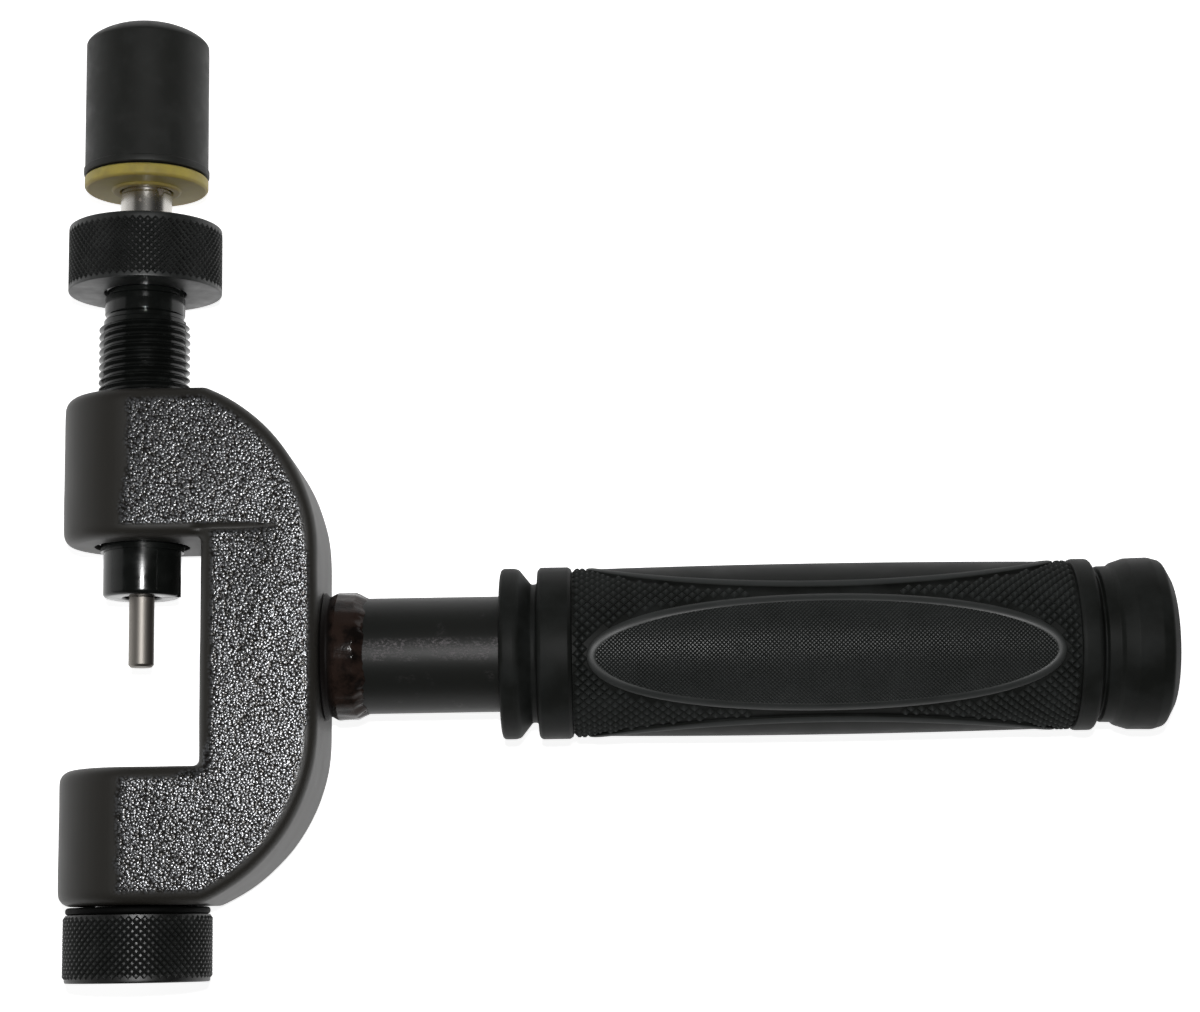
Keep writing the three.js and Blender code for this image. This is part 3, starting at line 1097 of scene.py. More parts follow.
    def roughen(self, bm: Mesh) -> None:
        """Gives the flat sides their pebbled grain and all of it a slightly uneven cast surface."""
        middle = self.box.centre.z
        for _ in range(3):
            bmesh.ops.smooth_vert(bm, verts=bm.verts, factor=0.5, use_axis_x=True, use_axis_y=True,
                                  use_axis_z=True)
        for vert in bm.verts:
            self.sharpen(vert.co)
        bm.normal_update()
        moves = []
        for vert in bm.verts:
            cast = self.cast_amount(vert.co)
            grain = (noise.noise(vert.co / self.grain)
                     + 0.6 * noise.noise(vert.co / (self.grain * 0.55)))
            wave = noise.noise(vert.co / (7 * MM)) * 0.07 * MM
            push = min(grain * self.grain_height * cast + wave - 0.05 * MM, 0.04 * MM)
            sink = self.recess(vert.co) if abs(vert.co.z - middle) > 0.35 * self.box.size.z else 0.0
            down = math.copysign(sink, vert.co.z - middle)
            moves.append(vert.normal * push - Vector((0, 0, down)))
        for vert, move in zip(bm.verts, moves):
            vert.co += move

    def build(self) -> Piece:
        """Makes the casting."""
        plate = slab(self.outline(), UP, self.box.size.z, self.edge)
        mouth_low, mouth_high = self.mouth
        columns = combine(self.column(mouth_high, self.box.high.y), self.spine_block(), "UNION")
        columns = combine(columns, self.column(self.box.low.y, mouth_low), "UNION")
        blank = combine(plate, columns, "INTERSECT")
        bm = reshape(blank, "REMESH", mode="VOXEL", voxel_size=self.voxel, use_smooth_shade=True)
        self.roughen(bm)
        drill = bmesh.new()
        bmesh.ops.create_cone(drill, cap_ends=True, segments=96, radius1=self.bore,
                              radius2=self.bore, depth=self.box.size.y + 20 * MM)
        place = Matrix.Translation(Vector((SPINDLE.origin.x, self.box.centre.y, SPINDLE.origin.z)))
        place = place @ Matrix.Rotation(math.pi / 2, 4, "X")
        bmesh.ops.transform(drill, matrix=place, verts=drill.verts)
        bm = combine(bm, drill, "DIFFERENCE")
        layer = bm.verts.layers.float.new(HammeredPaint.cast_mask)
        for vert in bm.verts:
            vert[layer] = self.cast_amount(vert.co)
        return self.maker.piece(bm, "frame_casting", Body.FRAME, Slot.HAMMERED, ["c_frame"],
                                sharp_angle=50)


@dataclass(frozen=True)
class Handle:
    """The black tube and the weld that joins it to the spine."""

    maker: Maker
    wall: float = 2.5 * MM
    weld_radius: float = 12.2 * MM
    ripples: int = 23

    def tube(self) -> Piece:
        """The tube, open at both ends."""
        box = Box.of("handle_tube")
        radius = box.size.z / 2
        bore = radius - self.wall
        start, end = box.low.x, box.high.x
        bm = bmesh.new()
        spin_section(bm, HANDLE, rounded([
            (bore, start, 0), (radius, start, 0), (radius, end, 0.3 * MM), (bore, end, 0),
            (bore, start, 0)]), 128)
        return self.maker.piece(bm, "black_tube", Body.FRAME, Slot.GLOSS, ["handle_tube"])

    def weld(self) -> Piece:
        """The weld bead, with ripples and an uneven toe on the tube."""
        box = Box.of("handle_weld")
        start, toe = box.low.x, box.high.x
        bore = Box.of("handle_tube").size.z / 2
        section = rounded([(bore, start, 0), (self.weld_radius + 0.1 * MM, start, 0),
                           (self.weld_radius - 0.75 * MM, start + 0.9 * MM, 0.5 * MM),
                           (self.weld_radius, start + 2.3 * MM, 1.2 * MM),
                           (self.weld_radius, toe - 2.4 * MM, 1.2 * MM),
                           (bore + 0.05 * MM, toe - 0.5 * MM, 0), (bore, toe - 0.5 * MM, 0),
                           (bore, start, 0)], 6)
        bm = bmesh.new()
        spin_section(bm, HANDLE, section, 160)
        for vert in bm.verts:
            radius, along, angle = HANDLE.measure(vert.co)
            if radius < bore + 0.02 * MM and along < toe - MM:
                continue
            around = Vector((math.cos(angle), math.sin(angle), 0))
            share = (along - start) / (toe - start)
            wobble = 2.5 * noise.noise(around * 2)
            ripple = math.sin(angle * self.ripples + wobble) * 0.10 * MM * share
            lump = noise.noise(around * 4 + Vector((0, 0, along / (3 * MM)))) * 0.28 * MM
            drift = noise.noise(around * 3.1) * 0.9 + noise.noise(around * 9.7) * 0.5
            slip = min(drift * MM * share * share, 0.4 * MM)
            if radius > bore + 0.04 * MM:
                radius = max(radius + min(ripple + lump, 0.3 * MM) * min(share * 3, 1), bore)
            vert.co = HANDLE.point(radius, along + slip, angle)
        return self.maker.piece(bm, "weld_bead", Body.FRAME, Slot.GLOSS, ["handle_weld"], 60,
                                self.maker.palette.weld)

    def build(self) -> list[Piece]:
        """Makes the tube and its weld."""
        return [self.tube(), self.weld()]


# ---- Rubber grip ---------------------------------------------------------------------------------


@dataclass(frozen=True)
class Grip:
    """The moulded grip: end collars and grooves, a wall of diamonds, and four long oval pads."""

    maker: Maker
    box: Box = field(default_factory=lambda: Box.of("handle_grip"))
    bore: float = 11.4 * MM
    wall_start: float = 13.8 * MM
    wall_end: float = 109.0 * MM
    wall_radius: float = 16.2 * MM
    belly: float = 0.5 * MM
    stud_pitch: float = 2.0 * MM
    stud_height: float = 0.75 * MM
    pad_centre: float = 61.3 * MM
    pad_length: float = 87.8 * MM
    pad_width: float = 22.6 * MM
    pad_turn: float = math.radians(9)
    valley: float = 1.3 * MM
    pad_sink: float = 0.15 * MM
    fine_pitch: float = 0.78 * MM
    fine_height: float = 0.2 * MM
    bead: float = 1.75 * MM

    def radius_at(self, x: float) -> float:
        """The wall's outer radius at a place along the handle."""
        middle = self.box.low.x + (self.wall_start + self.wall_end) / 2
        share = (x - middle) / ((self.wall_end - self.wall_start) / 2)
        return self.wall_radius + self.belly * max(1 - share * share, 0.0)

    def oval_offset(self, along: float, across: float) -> float:
        """How far a point lies outside a pad's oval, roughly in metres; negative inside."""
        a, b = self.pad_length / 2, self.pad_width / 2
        reach = math.hypot(along / a, across / b)
        slope = math.hypot(along / (a * a), across / (b * b)) or 1.0
        return (reach - 1) * reach / slope

    def pad_place(self, centre_angle: float, along: float, across: float, height: float) -> Vector:
        """Wraps a flat pad point round the grip.

        Args:
            centre_angle: the angle of the pad's middle.
            along: distance from the pad's middle, along the handle.
            across: distance from the pad's long centre line, round the grip.
            height: height over the wall's outer radius.

        Returns:
            The point in the row frame.
        """
        x = self.box.low.x + self.pad_centre + along
        radius = self.radius_at(x)
        return HANDLE.point(radius + height, x, centre_angle + across / radius)

    @property
    def pad_angles(self) -> list[float]:
        """The angle of each pad's middle: front first, then every quarter turn."""
        return [math.pi / 2 + self.pad_turn + quarter * math.pi / 2 for quarter in range(4)]

    def near_pad(self, point: Vector) -> float:
        """How far a point of the wall lies outside the nearest pad."""
        radius, x, angle = HANDLE.measure(point)
        along = x - self.box.low.x - self.pad_centre
        gaps = []
        for centre in self.pad_angles:
            turn = (angle - centre + math.pi) % FULL_TURN - math.pi
            gaps.append(self.oval_offset(along, turn * radius))
        return min(gaps)

    def studded_wall(self, bm: Mesh) -> tuple[list, list]:
        """Makes the diamond wall, and leaves it smooth under and round each pad.

        Args:
            bm: an empty mesh.

        Returns:
            The edges of the ring at the start and of the ring at the end.
        """
        crest = bm.verts.layers.float.new(MouldedRubber.crest_highlight_mask)
        start = self.box.low.x + self.wall_start
        end = self.box.low.x + self.wall_end
        around = round(FULL_TURN * self.wall_radius / self.stud_pitch / 4) * 4
        rows = round((end - start) / self.stud_pitch)
        places = [start + (end - start) * row / rows for row in range(rows + 1)]
        root = {x: self.radius_at(x) - self.stud_height for x in places}
        first = start_loop(bm, HANDLE, around, root[start], start)
        last = extend_loop(bm, first, HANDLE, [(root[x], x) for x in places[1:]])
        face_outwards(bm, HANDLE)

        def settle(vert: Vert) -> None:
            x = HANDLE.measure(vert.co)[1]
            place_loop([vert], HANDLE, self.radius_at(x) - self.stud_height, x)

        diamonds = diamond_faces(bm, list(bm.faces), settle)
        studs = [face for face in diamonds
                 if self.near_pad(face.calc_center_median()) > self.valley]
        bmesh.ops.inset_individual(bm, faces=studs, thickness=self.stud_pitch * 0.26,
                                   depth=self.stud_height, use_even_offset=True)
        # The studs' tops get half the crest colour: painted highlight.
        for vert in {vert for face in studs for vert in face.verts}:
            vert[crest] = 0.5
        return first, last

    def body(self) -> Piece:
        """The grip's body, with its collars, grooves and rounded tip."""
        x0, x1 = self.box.low.x, self.box.high.x
        bm = bmesh.new()
        first, last = self.studded_wall(bm)
        collars = ((16.1, 13.6, 0.1), (16.5, 13.0, 0.5), (16.5, 7.7, 0.7), (15.9, 7.2, 0.4),
                   (13.3, 7.0, 0.5), (13.3, 5.9, 0.5), (16.2, 3.6, 1.6), (16.4, 2.6, 1.2),
                   (16.4, 0.3, 1.1), (15.2, 0, 0.8))
        flange = rounded([
            (self.wall_radius - self.stud_height, x0 + self.wall_start, 0),
            *from_start(x0, collars), (self.bore, x0, 0), (self.bore, x1 - 10 * MM, 0)])
        extend_loop(bm, first, HANDLE, flange[1:])
        end_rings = ((16.3, 109.1, 0.3), (16.45, 109.8, 0.5), (16.45, 112.7, 0.9),
                     (14.1, 113.6, 0.6), (14.1, 114.0, 0.3), (14.95, 114.3, 0.3),
                     (15.0, 116.5, 0.6), (15.6, 117.2, 0.6), (16.4, 119.7, 1.2),
                     (16.5, 124.2, 1.6), (15.9, 126.3, 1.2))
        end_dimple = ((12.9, 0, 1.4), (6.5, 0, 0.6), (6.0, -0.7, 0.5), (3.0, -0.7, 0))
        tip = rounded([
            (self.wall_radius - self.stud_height, x0 + self.wall_end, 0),
            *from_start(x0, end_rings), *from_start(x1, end_dimple)])
        extend_loop(bm, last, HANDLE, tip[1:])
        bmesh.ops.remove_doubles(bm, verts=bm.verts, dist=JOIN_DISTANCE)
        bmesh.ops.holes_fill(bm, edges=open_edges(bm), sides=0)
        bmesh.ops.recalc_face_normals(bm, faces=bm.faces)
        return self.maker.piece(bm, "rubber_grip", Body.FRAME, Slot.GRIP, ["handle_grip"], 32)

    def oval_bead(self, bm: Mesh) -> None:
        """Sweeps the bead's round section along a pad's rim."""
        a, b = self.pad_length / 2, self.pad_width / 2
        half = self.bead / 2
        low = -self.stud_height - 0.5 * MM
        foot = -self.pad_sink - 0.12 * MM
        section = [(-half, low)] + [
            (-half * math.cos(math.pi * step / 8), foot + 0.25 * MM * math.sin(math.pi * step / 8))
            for step in range(9)] + [(half, low), (-half, low)]
        turn = bm.verts.layers.float.new("turn")
        crest = bm.verts.layers.float[MouldedRubber.crest_highlight_mask]
        ring = bmesh.ops.create_circle(bm, cap_ends=False, segments=160, radius=1)["verts"]
        for vert in ring:
            vert[turn] = math.atan2(vert.co.y, vert.co.x)
        edges = list({edge for vert in ring for edge in vert.link_edges})
        for i, (outward, height) in enumerate(section):
            if i:
                ring, edges = extrude_edges(bm, edges)
            for vert in ring:
                spot = Vector((a * math.cos(vert[turn]), b * math.sin(vert[turn]), height))
                side = Vector((b * math.cos(vert[turn]), a * math.sin(vert[turn]), 0)).normalized()
                vert.co = spot + side * outward
                # Lighter towards the bead's top: painted highlight.
                vert[crest] = 0.6 * ease(height, foot, -self.pad_sink + 0.1 * MM)

    def pad_face(self, bm: Mesh, fine: bool) -> None:
        """Makes a pad's flat face inside its bead, and closes it underneath."""
        crest = bm.verts.layers.float.new(MouldedRubber.crest_highlight_mask)
        cell = self.fine_pitch if fine else 1.3 * MM
        columns, rows = round(self.pad_length / cell), round(self.pad_width / cell)
        bmesh.ops.create_grid(bm, x_segments=columns, y_segments=rows, size=0.5)
        size = Vector((columns * cell, rows * cell, 1))
        bmesh.ops.transform(bm, matrix=Matrix.Diagonal(size).to_4x4(), verts=bm.verts)
        floor = -self.pad_sink - (self.fine_height if fine else 0.1 * MM)
        for vert in bm.verts:
            vert.co.z = floor
        if fine:
            diamonds = diamond_faces(bm, list(bm.faces), lambda vert: None)
            inner = [face for face in diamonds
                     if self.oval_offset(*face.calc_center_median()[:2]) < -0.3 * MM]
            bmesh.ops.inset_individual(bm, faces=inner, thickness=cell * 0.2,
                                       depth=self.fine_height, use_even_offset=True)
            # The fine diamonds' tops get the full crest colour: painted highlight.
            for vert in {vert for face in inner for vert in face.verts}:
                vert[crest] = 1.0
        outer = [face for face in bm.faces
                 if self.oval_offset(*face.calc_center_median()[:2]) > 0]
        bmesh.ops.delete(bm, geom=outer, context="FACES")
        skirt, _ = extrude_edges(bm, open_edges(bm))
        for vert in skirt:
            vert.co.z = -self.stud_height - 0.4 * MM
        bmesh.ops.holes_fill(bm, edges=open_edges(bm), sides=0)

    def pad(self, name: str, centre_angle: float, fine: bool) -> Piece:
        """Makes one oval pad.

        Args:
            name: the piece's name.
            centre_angle: the angle of its middle.
            fine: whether its face has fine diamonds instead of a plain skin.

        Returns:
            The new object.
        """
        bm = bmesh.new()
        self.pad_face(bm, fine)
        self.oval_bead(bm)
        bmesh.ops.remove_doubles(bm, verts=bm.verts, dist=MERGE_DISTANCE)
        for vert in bm.verts:
            vert.co = self.pad_place(centre_angle, *vert.co)
        turn_outwards(bm)
        return self.maker.piece(bm, name, Body.FRAME, Slot.GRIP, (), 30,
                                self.maker.palette.pad if fine else None)

    def build(self) -> list[Piece]:
        """Makes the grip and its pads."""
        names = ("front", "rear", "back", "fore")
        pads = [self.pad(f"grip_pad_{name}", angle, i % 2 == 0)
                for i, (name, angle) in enumerate(zip(names, self.pad_angles))]
        return [self.body(), *pads]


# ---- Clamp screw and plunger ---------------------------------------------------------------------


@dataclass(frozen=True)
class ClampScrew:
    """The hollow clamp screw: plain nose, thread, shank and knob, with the seal round the rod."""

    maker: Maker
    box: Box = field(default_factory=lambda: Box.of("clamp_screw"))
    knob: Box = field(default_factory=lambda: Box.of("clamp_knob"))
    nose_radius: float = 7.45 * MM
    nose_hole: float = 3.6 * MM
    shoulder: float = 8.2 * MM
    core: float = 8.0 * MM
    thread_radius: float = 8.85 * MM
    shank: float = 7.8 * MM
    neck: float = 7.2 * MM
    rod_bore: float = 5.3 * MM
    pitch: float = 1.5 * MM
    knurl_pitch: float = 1.46 * MM
    knurl_depth: float = 0.36 * MM

    def barrel(self) -> Piece:
        """The screw from its nose to the top of its shank."""
        low, high = self.box.low.y, self.box.high.y
        hole, nose, core, shank = self.nose_hole, self.nose_radius, self.core, self.shank
        thread_low, thread_high = low + 10.4 * MM, low + 54.6 * MM
        corners = [
            (hole, low + 4 * MM, 0), (hole, low, 0.4 * MM), (nose, low, 0.8 * MM),
            (nose, low + 8.8 * MM, 0), (core, low + 8.8 * MM, 0), (core, thread_high, 0.3 * MM),
            (shank - 0.5 * MM, thread_high + 0.2 * MM, 0.2 * MM),
            (shank - 0.5 * MM, thread_high + 0.9 * MM, 0.2 * MM),
            (shank, thread_high + 1.2 * MM, 0.3 * MM), (shank, low + 59.2 * MM, 0.2 * MM),
            (self.neck, low + 59.5 * MM, 0.2 * MM), (self.neck, low + 60.7 * MM, 0.2 * MM),
            (shank, low + 61 * MM, 0.2 * MM), (shank, high, 0.3 * MM),
            (self.rod_bore, high, 0.3 * MM), (self.rod_bore, low + 4 * MM, 0),
            (hole, low + 4 * MM, 0)]
        bm = bmesh.new()
        spin_section(bm, SPINDLE, rounded(corners))
        screw_thread(bm, SPINDLE, (thread_low - 1.2 * MM, thread_high), self.thread_radius,
                     self.pitch)
        bmesh.ops.recalc_face_normals(bm, faces=bm.faces)
        return self.maker.piece(bm, "clamp_barrel", Body.CLAMP, Slot.OXIDE, ["clamp_screw"])

    def hand_knob(self) -> Piece:
        """The knurled knob on top of the screw."""
        low, high = self.knob.low.y, self.knob.high.y
        radius = self.knob.size.x / 2
        bm = bmesh.new()
        root = radius - 0.15 * MM
        bottom_edge, top_edge = low + 0.5 * MM, high - 0.9 * MM
        first, last = knurled_wall(bm, SPINDLE, root, (bottom_edge, top_edge), self.knurl_pitch,
                                   self.knurl_depth, True)
        shank = self.shank + 0.2 * MM
        under = rounded([(root, bottom_edge, 0), (root, low, 0.5 * MM), (shank, low, 0.2 * MM),
                         (shank, high - 2.4 * MM, 0)])
        bore = self.rod_bore
        over = rounded([(root, top_edge, 0), (root, high, 0.85 * MM),
                        (bore + 1.6 * MM, high, 0.2 * MM),
                        (bore + 0.9 * MM, high - 0.7 * MM, 0.1 * MM),
                        (bore, high - 0.7 * MM, 0.1 * MM), (bore, high - 2.4 * MM, 0),
                        (shank, high - 2.4 * MM, 0)])
        extend_loop(bm, first, SPINDLE, under[1:])
        extend_loop(bm, last, SPINDLE, over[1:])
        bmesh.ops.remove_doubles(bm, verts=bm.verts, dist=JOIN_DISTANCE)
        bmesh.ops.recalc_face_normals(bm, faces=bm.faces)
        return self.maker.piece(bm, "clamp_hand_knob", Body.CLAMP, Slot.OXIDE, ["clamp_knob"], 30,
                                self.maker.palette.knurl)

    def seal(self) -> Piece:
        """The rubber ring round the rod, inside the knob."""
        box = Box.of("rod_seal")
        wire = box.size.y / 2
        ring = box.size.x / 2 - wire
        middle = box.centre.y
        bm = bmesh.new()
        section = [(ring + wire * math.cos(FULL_TURN * i / 16),
                    middle + wire * math.sin(FULL_TURN * i / 16)) for i in range(17)]
        spin_section(bm, SPINDLE, section, 72)
        return self.maker.piece(bm, "seal_ring", Body.CARRIER, Slot.SEAL, ["rod_seal"], 80)

    def build(self) -> list[Piece]:
        """Makes the screw, its knob and the seal."""
        return [self.barrel(), self.hand_knob(), self.seal()]


@dataclass(frozen=True)
class Plunger:
    """The sliding rod with its push pin, striking cap and urethane bumper."""

    maker: Maker
    rod_radius: float = 5.0 * MM
    socket: float = 3.9 * MM
    cap_radius: float = 12.3 * MM

    def rod(self) -> Piece:
        """The bright rod, with its socket for the pin and a faint ring under the bumper."""
        low, high = ROD_BOX.low.y, ROD_BOX.high.y
        radius = self.rod_radius
        groove = Box.of("bumper_washer").low.y - 0.9 * MM
        deep = radius - 0.12 * MM
        return self.maker.turned("plunger_shaft", Body.PLUNGER, Slot.BRIGHT, "plunger_rod", [
            (0, low + 14 * MM, 0), (self.socket, low + 14 * MM, 0), (self.socket, low, 0.2 * MM),
            (radius, low, 0.5 * MM), (radius, groove, 0.1 * MM),
            (deep, groove + 0.3 * MM, 0.1 * MM), (deep, high, 0.5 * MM), (0, high, 0)])

    def holder(self) -> Piece:
        """The hollow screw in the rod's end that holds the pin's head."""
        box = Box.of("pin_holder")
        outer = box.size.x / 2
        inner = outer - 0.85 * MM
        low, high = box.low.y, box.high.y
        return self.maker.turned("holder_screw", Body.PLUNGER, Slot.OXIDE, "pin_holder", [
            (inner, high, 0), (inner, low, 0.2 * MM), (outer, low, 0.3 * MM),
            (outer, high, 0.3 * MM), (inner, high, 0)])

    def pin(self) -> Piece:
        """The push pin, with its head and blunt chamfered tip."""
        box = Box.of("push_pin")
        radius, head = 2.42 * MM, box.size.x / 2
        low, high = box.low.y, box.high.y
        neck = high - 3.2 * MM
        return self.maker.turned("drive_pin", Body.PLUNGER, Slot.PIN, "push_pin", [
            (0, low, 0), (radius - 0.4 * MM, low, 0.15 * MM), (radius, low + 0.45 * MM, 0.2 * MM),
            (radius, neck, 0.2 * MM), (head, neck, 0.2 * MM), (head, high, 0.3 * MM), (0, high, 0)])

    def cap(self) -> Piece:
        """The domed striking cap, with a bead line above its lower edge."""
        box = Box.of("striking_cap")
        low, high = box.low.y, box.high.y
        lip, side, line = self.cap_radius, self.cap_radius - 0.22 * MM, low + 1.35 * MM
        rise = 4.4 * MM
        shoulder = high - rise
        dome = [(side * math.cos(t), shoulder + rise * math.sin(t) ** 1.4, 0.0)
                for t in (math.pi / 2 * step / 20 for step in range(2, 20))]
        corners = [
            (0, ROD_BOX.high.y + 0.3 * MM, 0), (5.3 * MM, ROD_BOX.high.y + 0.3 * MM, 0),
            (5.3 * MM, low, 0.2 * MM),
            (lip, low, 0.4 * MM), (lip, line, 0.15 * MM), (side, line + 0.08 * MM, 0.05 * MM),
            (side, shoulder, 0.3 * MM), *dome, (0, high, 0)]
        return self.maker.turned("strike_cap", Body.PLUNGER, Slot.CAP, "striking_cap", corners)

    def bumper(self) -> Piece:
        """The urethane disc under the cap, with a raised lip round the rod."""
        box = Box.of("bumper_washer")
        low, high = box.low.y, box.high.y
        radius = box.size.x / 2
        return self.maker.turned("bumper_disc", Body.PLUNGER, Slot.URETHANE, "bumper_washer", [
            (5.2 * MM, high, 0), (5.2 * MM, low, 0.15 * MM), (6.5 * MM, low, 0.3 * MM),
            (6.8 * MM, low + 0.5 * MM, 0.3 * MM), (radius - 0.5 * MM, low + 0.35 * MM, 0.4 * MM),
            (radius, low + 0.8 * MM, 0.4 * MM), (radius, high - 0.3 * MM, 0.25 * MM),
            (radius - 0.3 * MM, high, 0.1 * MM), (5.2 * MM, high, 0)])

    def build(self) -> list[Piece]:
        """Makes the rod and everything that slides with it."""
        return [self.rod(), self.holder(), self.pin(), self.cap(), self.bumper()]


# ---- Anvil ---------------------------------------------------------------------------------------


@dataclass(frozen=True)
class Anvil:
    """The screw-in anvil: threaded plug, hardened insert, lock ring and knurled knob."""

    maker: Maker
    plug_box: Box = field(default_factory=lambda: Box.of("anvil_screw"))
    knob_box: Box = field(default_factory=lambda: Box.of("anvil_knob"))
    thread_radius: float = 8.85 * MM
    core: float = 8.0 * MM
    pitch: float = 1.5 * MM
    knurl_pitch: float = 1.5 * MM
    knurl_depth: float = 0.4 * MM

    def plug(self) -> Piece:
        """The threaded plug, with its seat and the pocket that takes a pressed-out rivet."""
        low, high = self.plug_box.low.y, self.plug_box.high.y
        core, seat, pocket = self.core, 6.8 * MM, 3.75 * MM
        seat_floor, pocket_floor = high - 9.3 * MM, high - 14.5 * MM
        corners = [
            (0, low, 0), (core - 0.5 * MM, low, 0.3 * MM), (core, low + 0.8 * MM, 0.3 * MM),
            (core, high - 0.9 * MM, 0.1 * MM), (self.thread_radius - 0.5 * MM, high - 0.9 * MM, 0),
            (self.thread_radius - 0.5 * MM, high, 0.5 * MM), (seat, high, 0.2 * MM),
            (seat, seat_floor, 0), (pocket, seat_floor, 0), (pocket, pocket_floor, 0.4 * MM),
            (0, pocket_floor, 0)]
        bm = bmesh.new()
        spin_section(bm, SPINDLE, rounded(corners))
        screw_thread(bm, SPINDLE, (low + 1 * MM, high - 0.6 * MM), self.thread_radius, self.pitch)
        bmesh.ops.recalc_face_normals(bm, faces=bm.faces)
        return self.maker.piece(bm, "anvil_plug", Body.ANVIL, Slot.OXIDE, ["anvil_screw"])

    def die(self) -> Piece:
        """The hardened ring that carries the chain's link plate."""
        box = Box.of("anvil_insert")
        low, high, outer, hole = box.low.y, box.high.y, box.size.x / 2, 3.75 * MM
        return self.maker.turned("anvil_die", Body.ANVIL, Slot.PIN, "anvil_insert", [
            (hole, low, 0), (outer, low, 0.2 * MM), (outer, high, 0.3 * MM),
            (hole, high, 0.3 * MM), (hole, low, 0)])

    def lock_ring(self) -> Piece:
        """The thin rounded black ring between the frame and the knob, made near black and stretched
        to fill the gaps: painted shade there, on a real ring.
        """
        box = Box.of("anvil_ring")
        # Stretched past its box to close the light gaps against the frame and the knob.
        low, high = box.low.y - 0.27 * MM, box.high.y + 0.12 * MM
        outer, bore = box.size.x / 2 - 0.1 * MM, 9.2 * MM
        return self.maker.turned("anvil_lock_ring", Body.ANVIL_CARRIER, Slot.GLOSS, "anvil_ring", [
            (bore, low, 0), (outer, low, 0.6 * MM), (outer, high, 0.6 * MM), (bore, high, 0),
            (bore, low, 0)], self.maker.palette.ring)

    def thumb_knob(self) -> Piece:
        """The knurled knob under the frame."""
        low, high = self.knob_box.low.y, self.knob_box.high.y
        radius = self.knob_box.size.x / 2
        root = radius - self.knurl_depth
        bm = bmesh.new()
        bottom_edge, top_edge = low + 0.7 * MM, high - 0.2 * MM
        first, last = knurled_wall(bm, SPINDLE, radius, (bottom_edge, top_edge),
                                   self.knurl_pitch, self.knurl_depth)
        bore = 9.2 * MM
        under = rounded([(root, bottom_edge, 0), (root, low, 0.65 * MM), (7 * MM, low, 0.2 * MM),
                         (6.6 * MM, low + 0.4 * MM, 0.1 * MM), (2 * MM, low + 0.4 * MM, 0)])
        over = rounded([(root, top_edge, 0), (root, high, 0.15 * MM), (bore, high, 0.2 * MM),
                        (bore, low + 3 * MM, 0), (2 * MM, low + 3 * MM, 0)])
        extend_loop(bm, first, SPINDLE, under[1:])
        extend_loop(bm, last, SPINDLE, over[1:])
        bmesh.ops.holes_fill(bm, edges=open_edges(bm), sides=0)
        bmesh.ops.recalc_face_normals(bm, faces=bm.faces)
        return self.maker.piece(bm, "anvil_thumb_knob", Body.ANVIL, Slot.OXIDE, ["anvil_knob"], 30,
                                self.maker.palette.knurl)

    def build(self) -> list[Piece]:
        """Makes the anvil's pieces."""
        return [self.plug(), self.die(), self.lock_ring(), self.thumb_knob()]


# ---- Camera, lights and floor --------------------------------------------------------------------


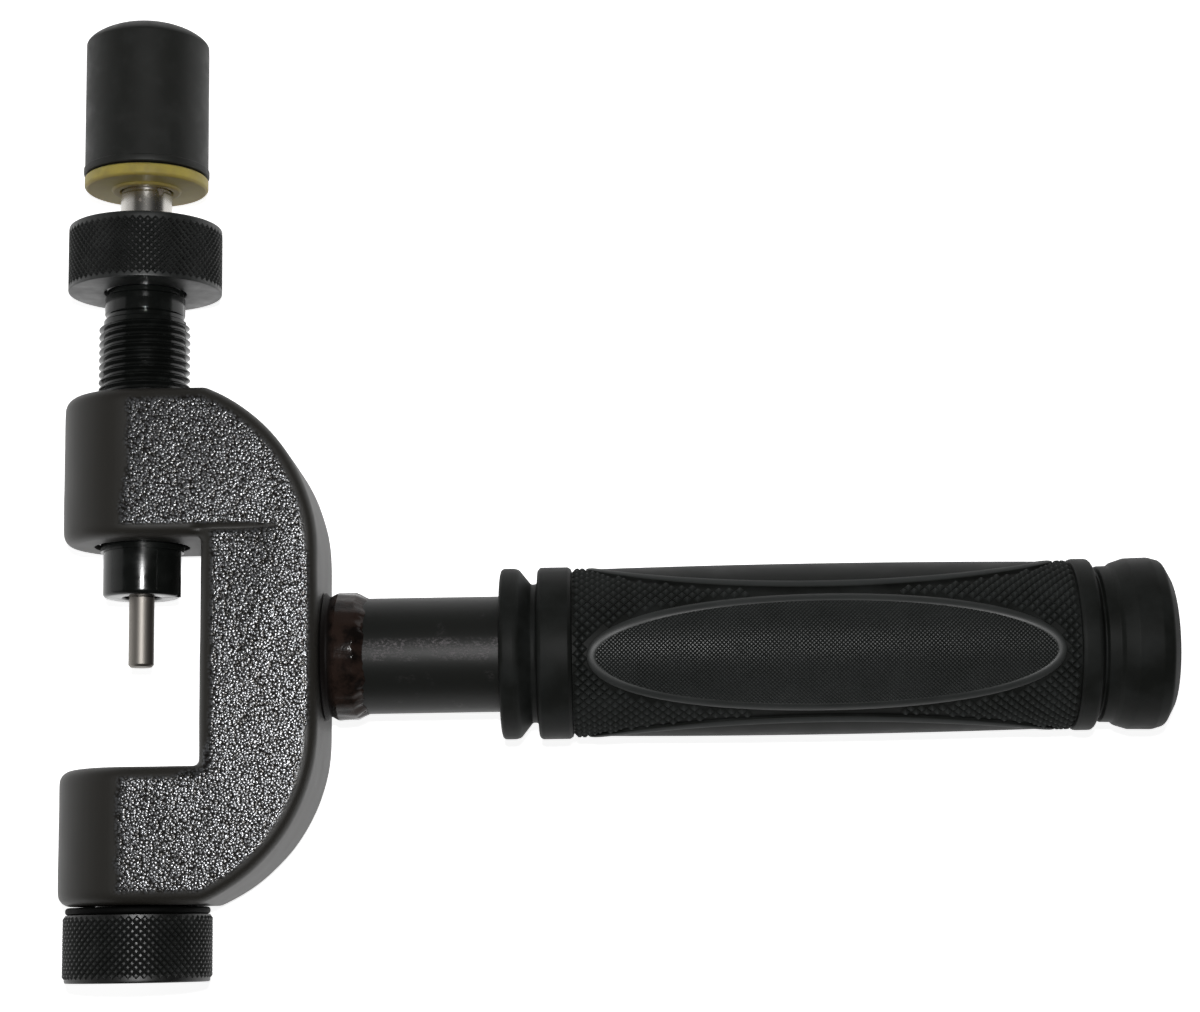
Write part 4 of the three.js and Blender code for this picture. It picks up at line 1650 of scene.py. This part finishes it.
@dataclass(frozen=True)
class Studio:
    """A pale floor in a white room, a small light beside the camera and a soft panel at the left."""

    camera_place: Vector = field(default_factory=lambda: Vector((0.00016, -0.08817, 0.5257)))
    pitch: float = 0.1628004
    yaw: float = 0.0049223
    roll: float = -0.0162999
    lens: float = 79.73
    floor_size: float = 6.0
    floor_glow: float = 0.5
    floor_glow_seen: float = 0.9
    wall_light: float = 0.33
    ceiling_light: float = 0.05
    dim_side: float = 0.12
    aim_height: float = 0.015
    flash_size: float = 0.036
    flash_power: float = 1.8
    panel_size: float = 0.7
    panel_power: float = 0.6

    def camera(self) -> None:
        """Makes the camera."""
        data = bpy.data.cameras.new("camera")
        data.lens = self.lens
        data.sensor_width = 36.0
        data.sensor_fit = "HORIZONTAL"
        data.clip_start, data.clip_end = 0.01, 50.0
        camera = add_object("camera", data)
        turn = Matrix.Rotation(self.yaw, 4, "Y") @ Matrix.Rotation(self.pitch, 4, "X")
        turn = turn @ Matrix.Rotation(self.roll, 4, "Z")
        camera.matrix_world = Matrix.Translation(self.camera_place) @ turn
        bpy.context.scene.camera = camera

    def light(self, name: str, place: Vector, aim: Vector, size: float, power: float) -> None:
        """Makes one square area light."""
        data = bpy.data.lights.new(name, "AREA")
        data.size = size
        data.energy = power
        lamp = add_object(name, data)
        facing = (aim - place).to_track_quat("-Z", "Y").to_matrix().to_4x4()
        lamp.matrix_world = Matrix.Translation(place) @ facing

    def floor(self) -> None:
        """Makes the floor."""
        g = Graph("studio_floor")
        seen = g.node("ShaderNodeLightPath").outputs["Is Camera Ray"]
        tone = g.blend(g.noise(0.4), shade(0.93, 0.93, 0.93), shade(0.95, 0.95, 0.95))
        glow = g.ramp(seen, 0.0, 1.0, self.floor_glow, self.floor_glow_seen)
        g.set(Base_Color=tone, Roughness=0.8, Emission_Color=shade(1, 1, 1), Emission_Strength=glow)
        bm = bmesh.new()
        bmesh.ops.create_grid(bm, x_segments=1, y_segments=1, size=self.floor_size / 2)
        floor = add_mesh("studio_floor", bm)
        floor.data.materials.append(g.material)

    def world(self) -> None:
        """Makes the white surroundings."""
        world = bpy.data.worlds.new("white_room")
        world.use_nodes = True
        tree = world.node_tree
        background = tree.nodes["Background"]
        background.inputs["Color"].default_value = shade(1, 1, 1)
        place = tree.nodes.new("ShaderNodeTexCoord").outputs["Generated"]
        factors = []
        dim_direction = Vector((-0.85, 0.5, 0))
        for direction, levels in ((UP, (0.15, 0.6, self.wall_light, self.ceiling_light)),
                                  (dim_direction, (-0.5, 0.6, self.dim_side, 1.0))):
            facing = tree.nodes.new("ShaderNodeVectorMath")
            facing.operation = "DOT_PRODUCT"
            facing.inputs[1].default_value = direction
            fade = tree.nodes.new("ShaderNodeMapRange")
            fade.interpolation_type = "SMOOTHSTEP"
            for name, value in zip(("From Min", "From Max", "To Min", "To Max"), levels):
                fade.inputs[name].default_value = value
            tree.links.new(place, facing.inputs[0])
            tree.links.new(facing.outputs["Value"], fade.inputs["Value"])
            factors.append(fade.outputs[0])
        product = tree.nodes.new("ShaderNodeMath")
        product.operation = "MULTIPLY"
        for socket, factor in zip(product.inputs, factors):
            tree.links.new(factor, socket)
        seen = tree.nodes.new("ShaderNodeLightPath").outputs["Is Camera Ray"]
        strength = tree.nodes.new("ShaderNodeMath")
        strength.operation = "MAXIMUM"
        tree.links.new(product.outputs[0], strength.inputs[0])
        tree.links.new(seen, strength.inputs[1])
        tree.links.new(strength.outputs[0], background.inputs["Strength"])
        bpy.context.scene.world = world

    def build(self) -> None:
        """Sets up the whole studio."""
        bpy.context.scene.view_settings.view_transform = "Standard"
        self.camera()
        self.floor()
        self.world()
        aim = Vector((0, 0, self.aim_height))
        beside_camera = self.camera_place + Vector((0.0, 0.06, 0.02))
        self.light("flash", beside_camera, aim, self.flash_size, self.flash_power)
        self.light("left_panel", Vector((-0.9, 0.1, 0.30)), aim, self.panel_size, self.panel_power)


def main() -> None:
    """Builds the tool and its studio."""
    logging.basicConfig(level=logging.INFO, format="%(name)s: %(message)s")
    Studio().build()
    maker = Maker(Palette())
    FrameCasting(maker).build()
    for assembly in (Handle, Grip, ClampScrew, Plunger, Anvil):
        assembly(maker).build()


if __name__ == "__main__":
    main()
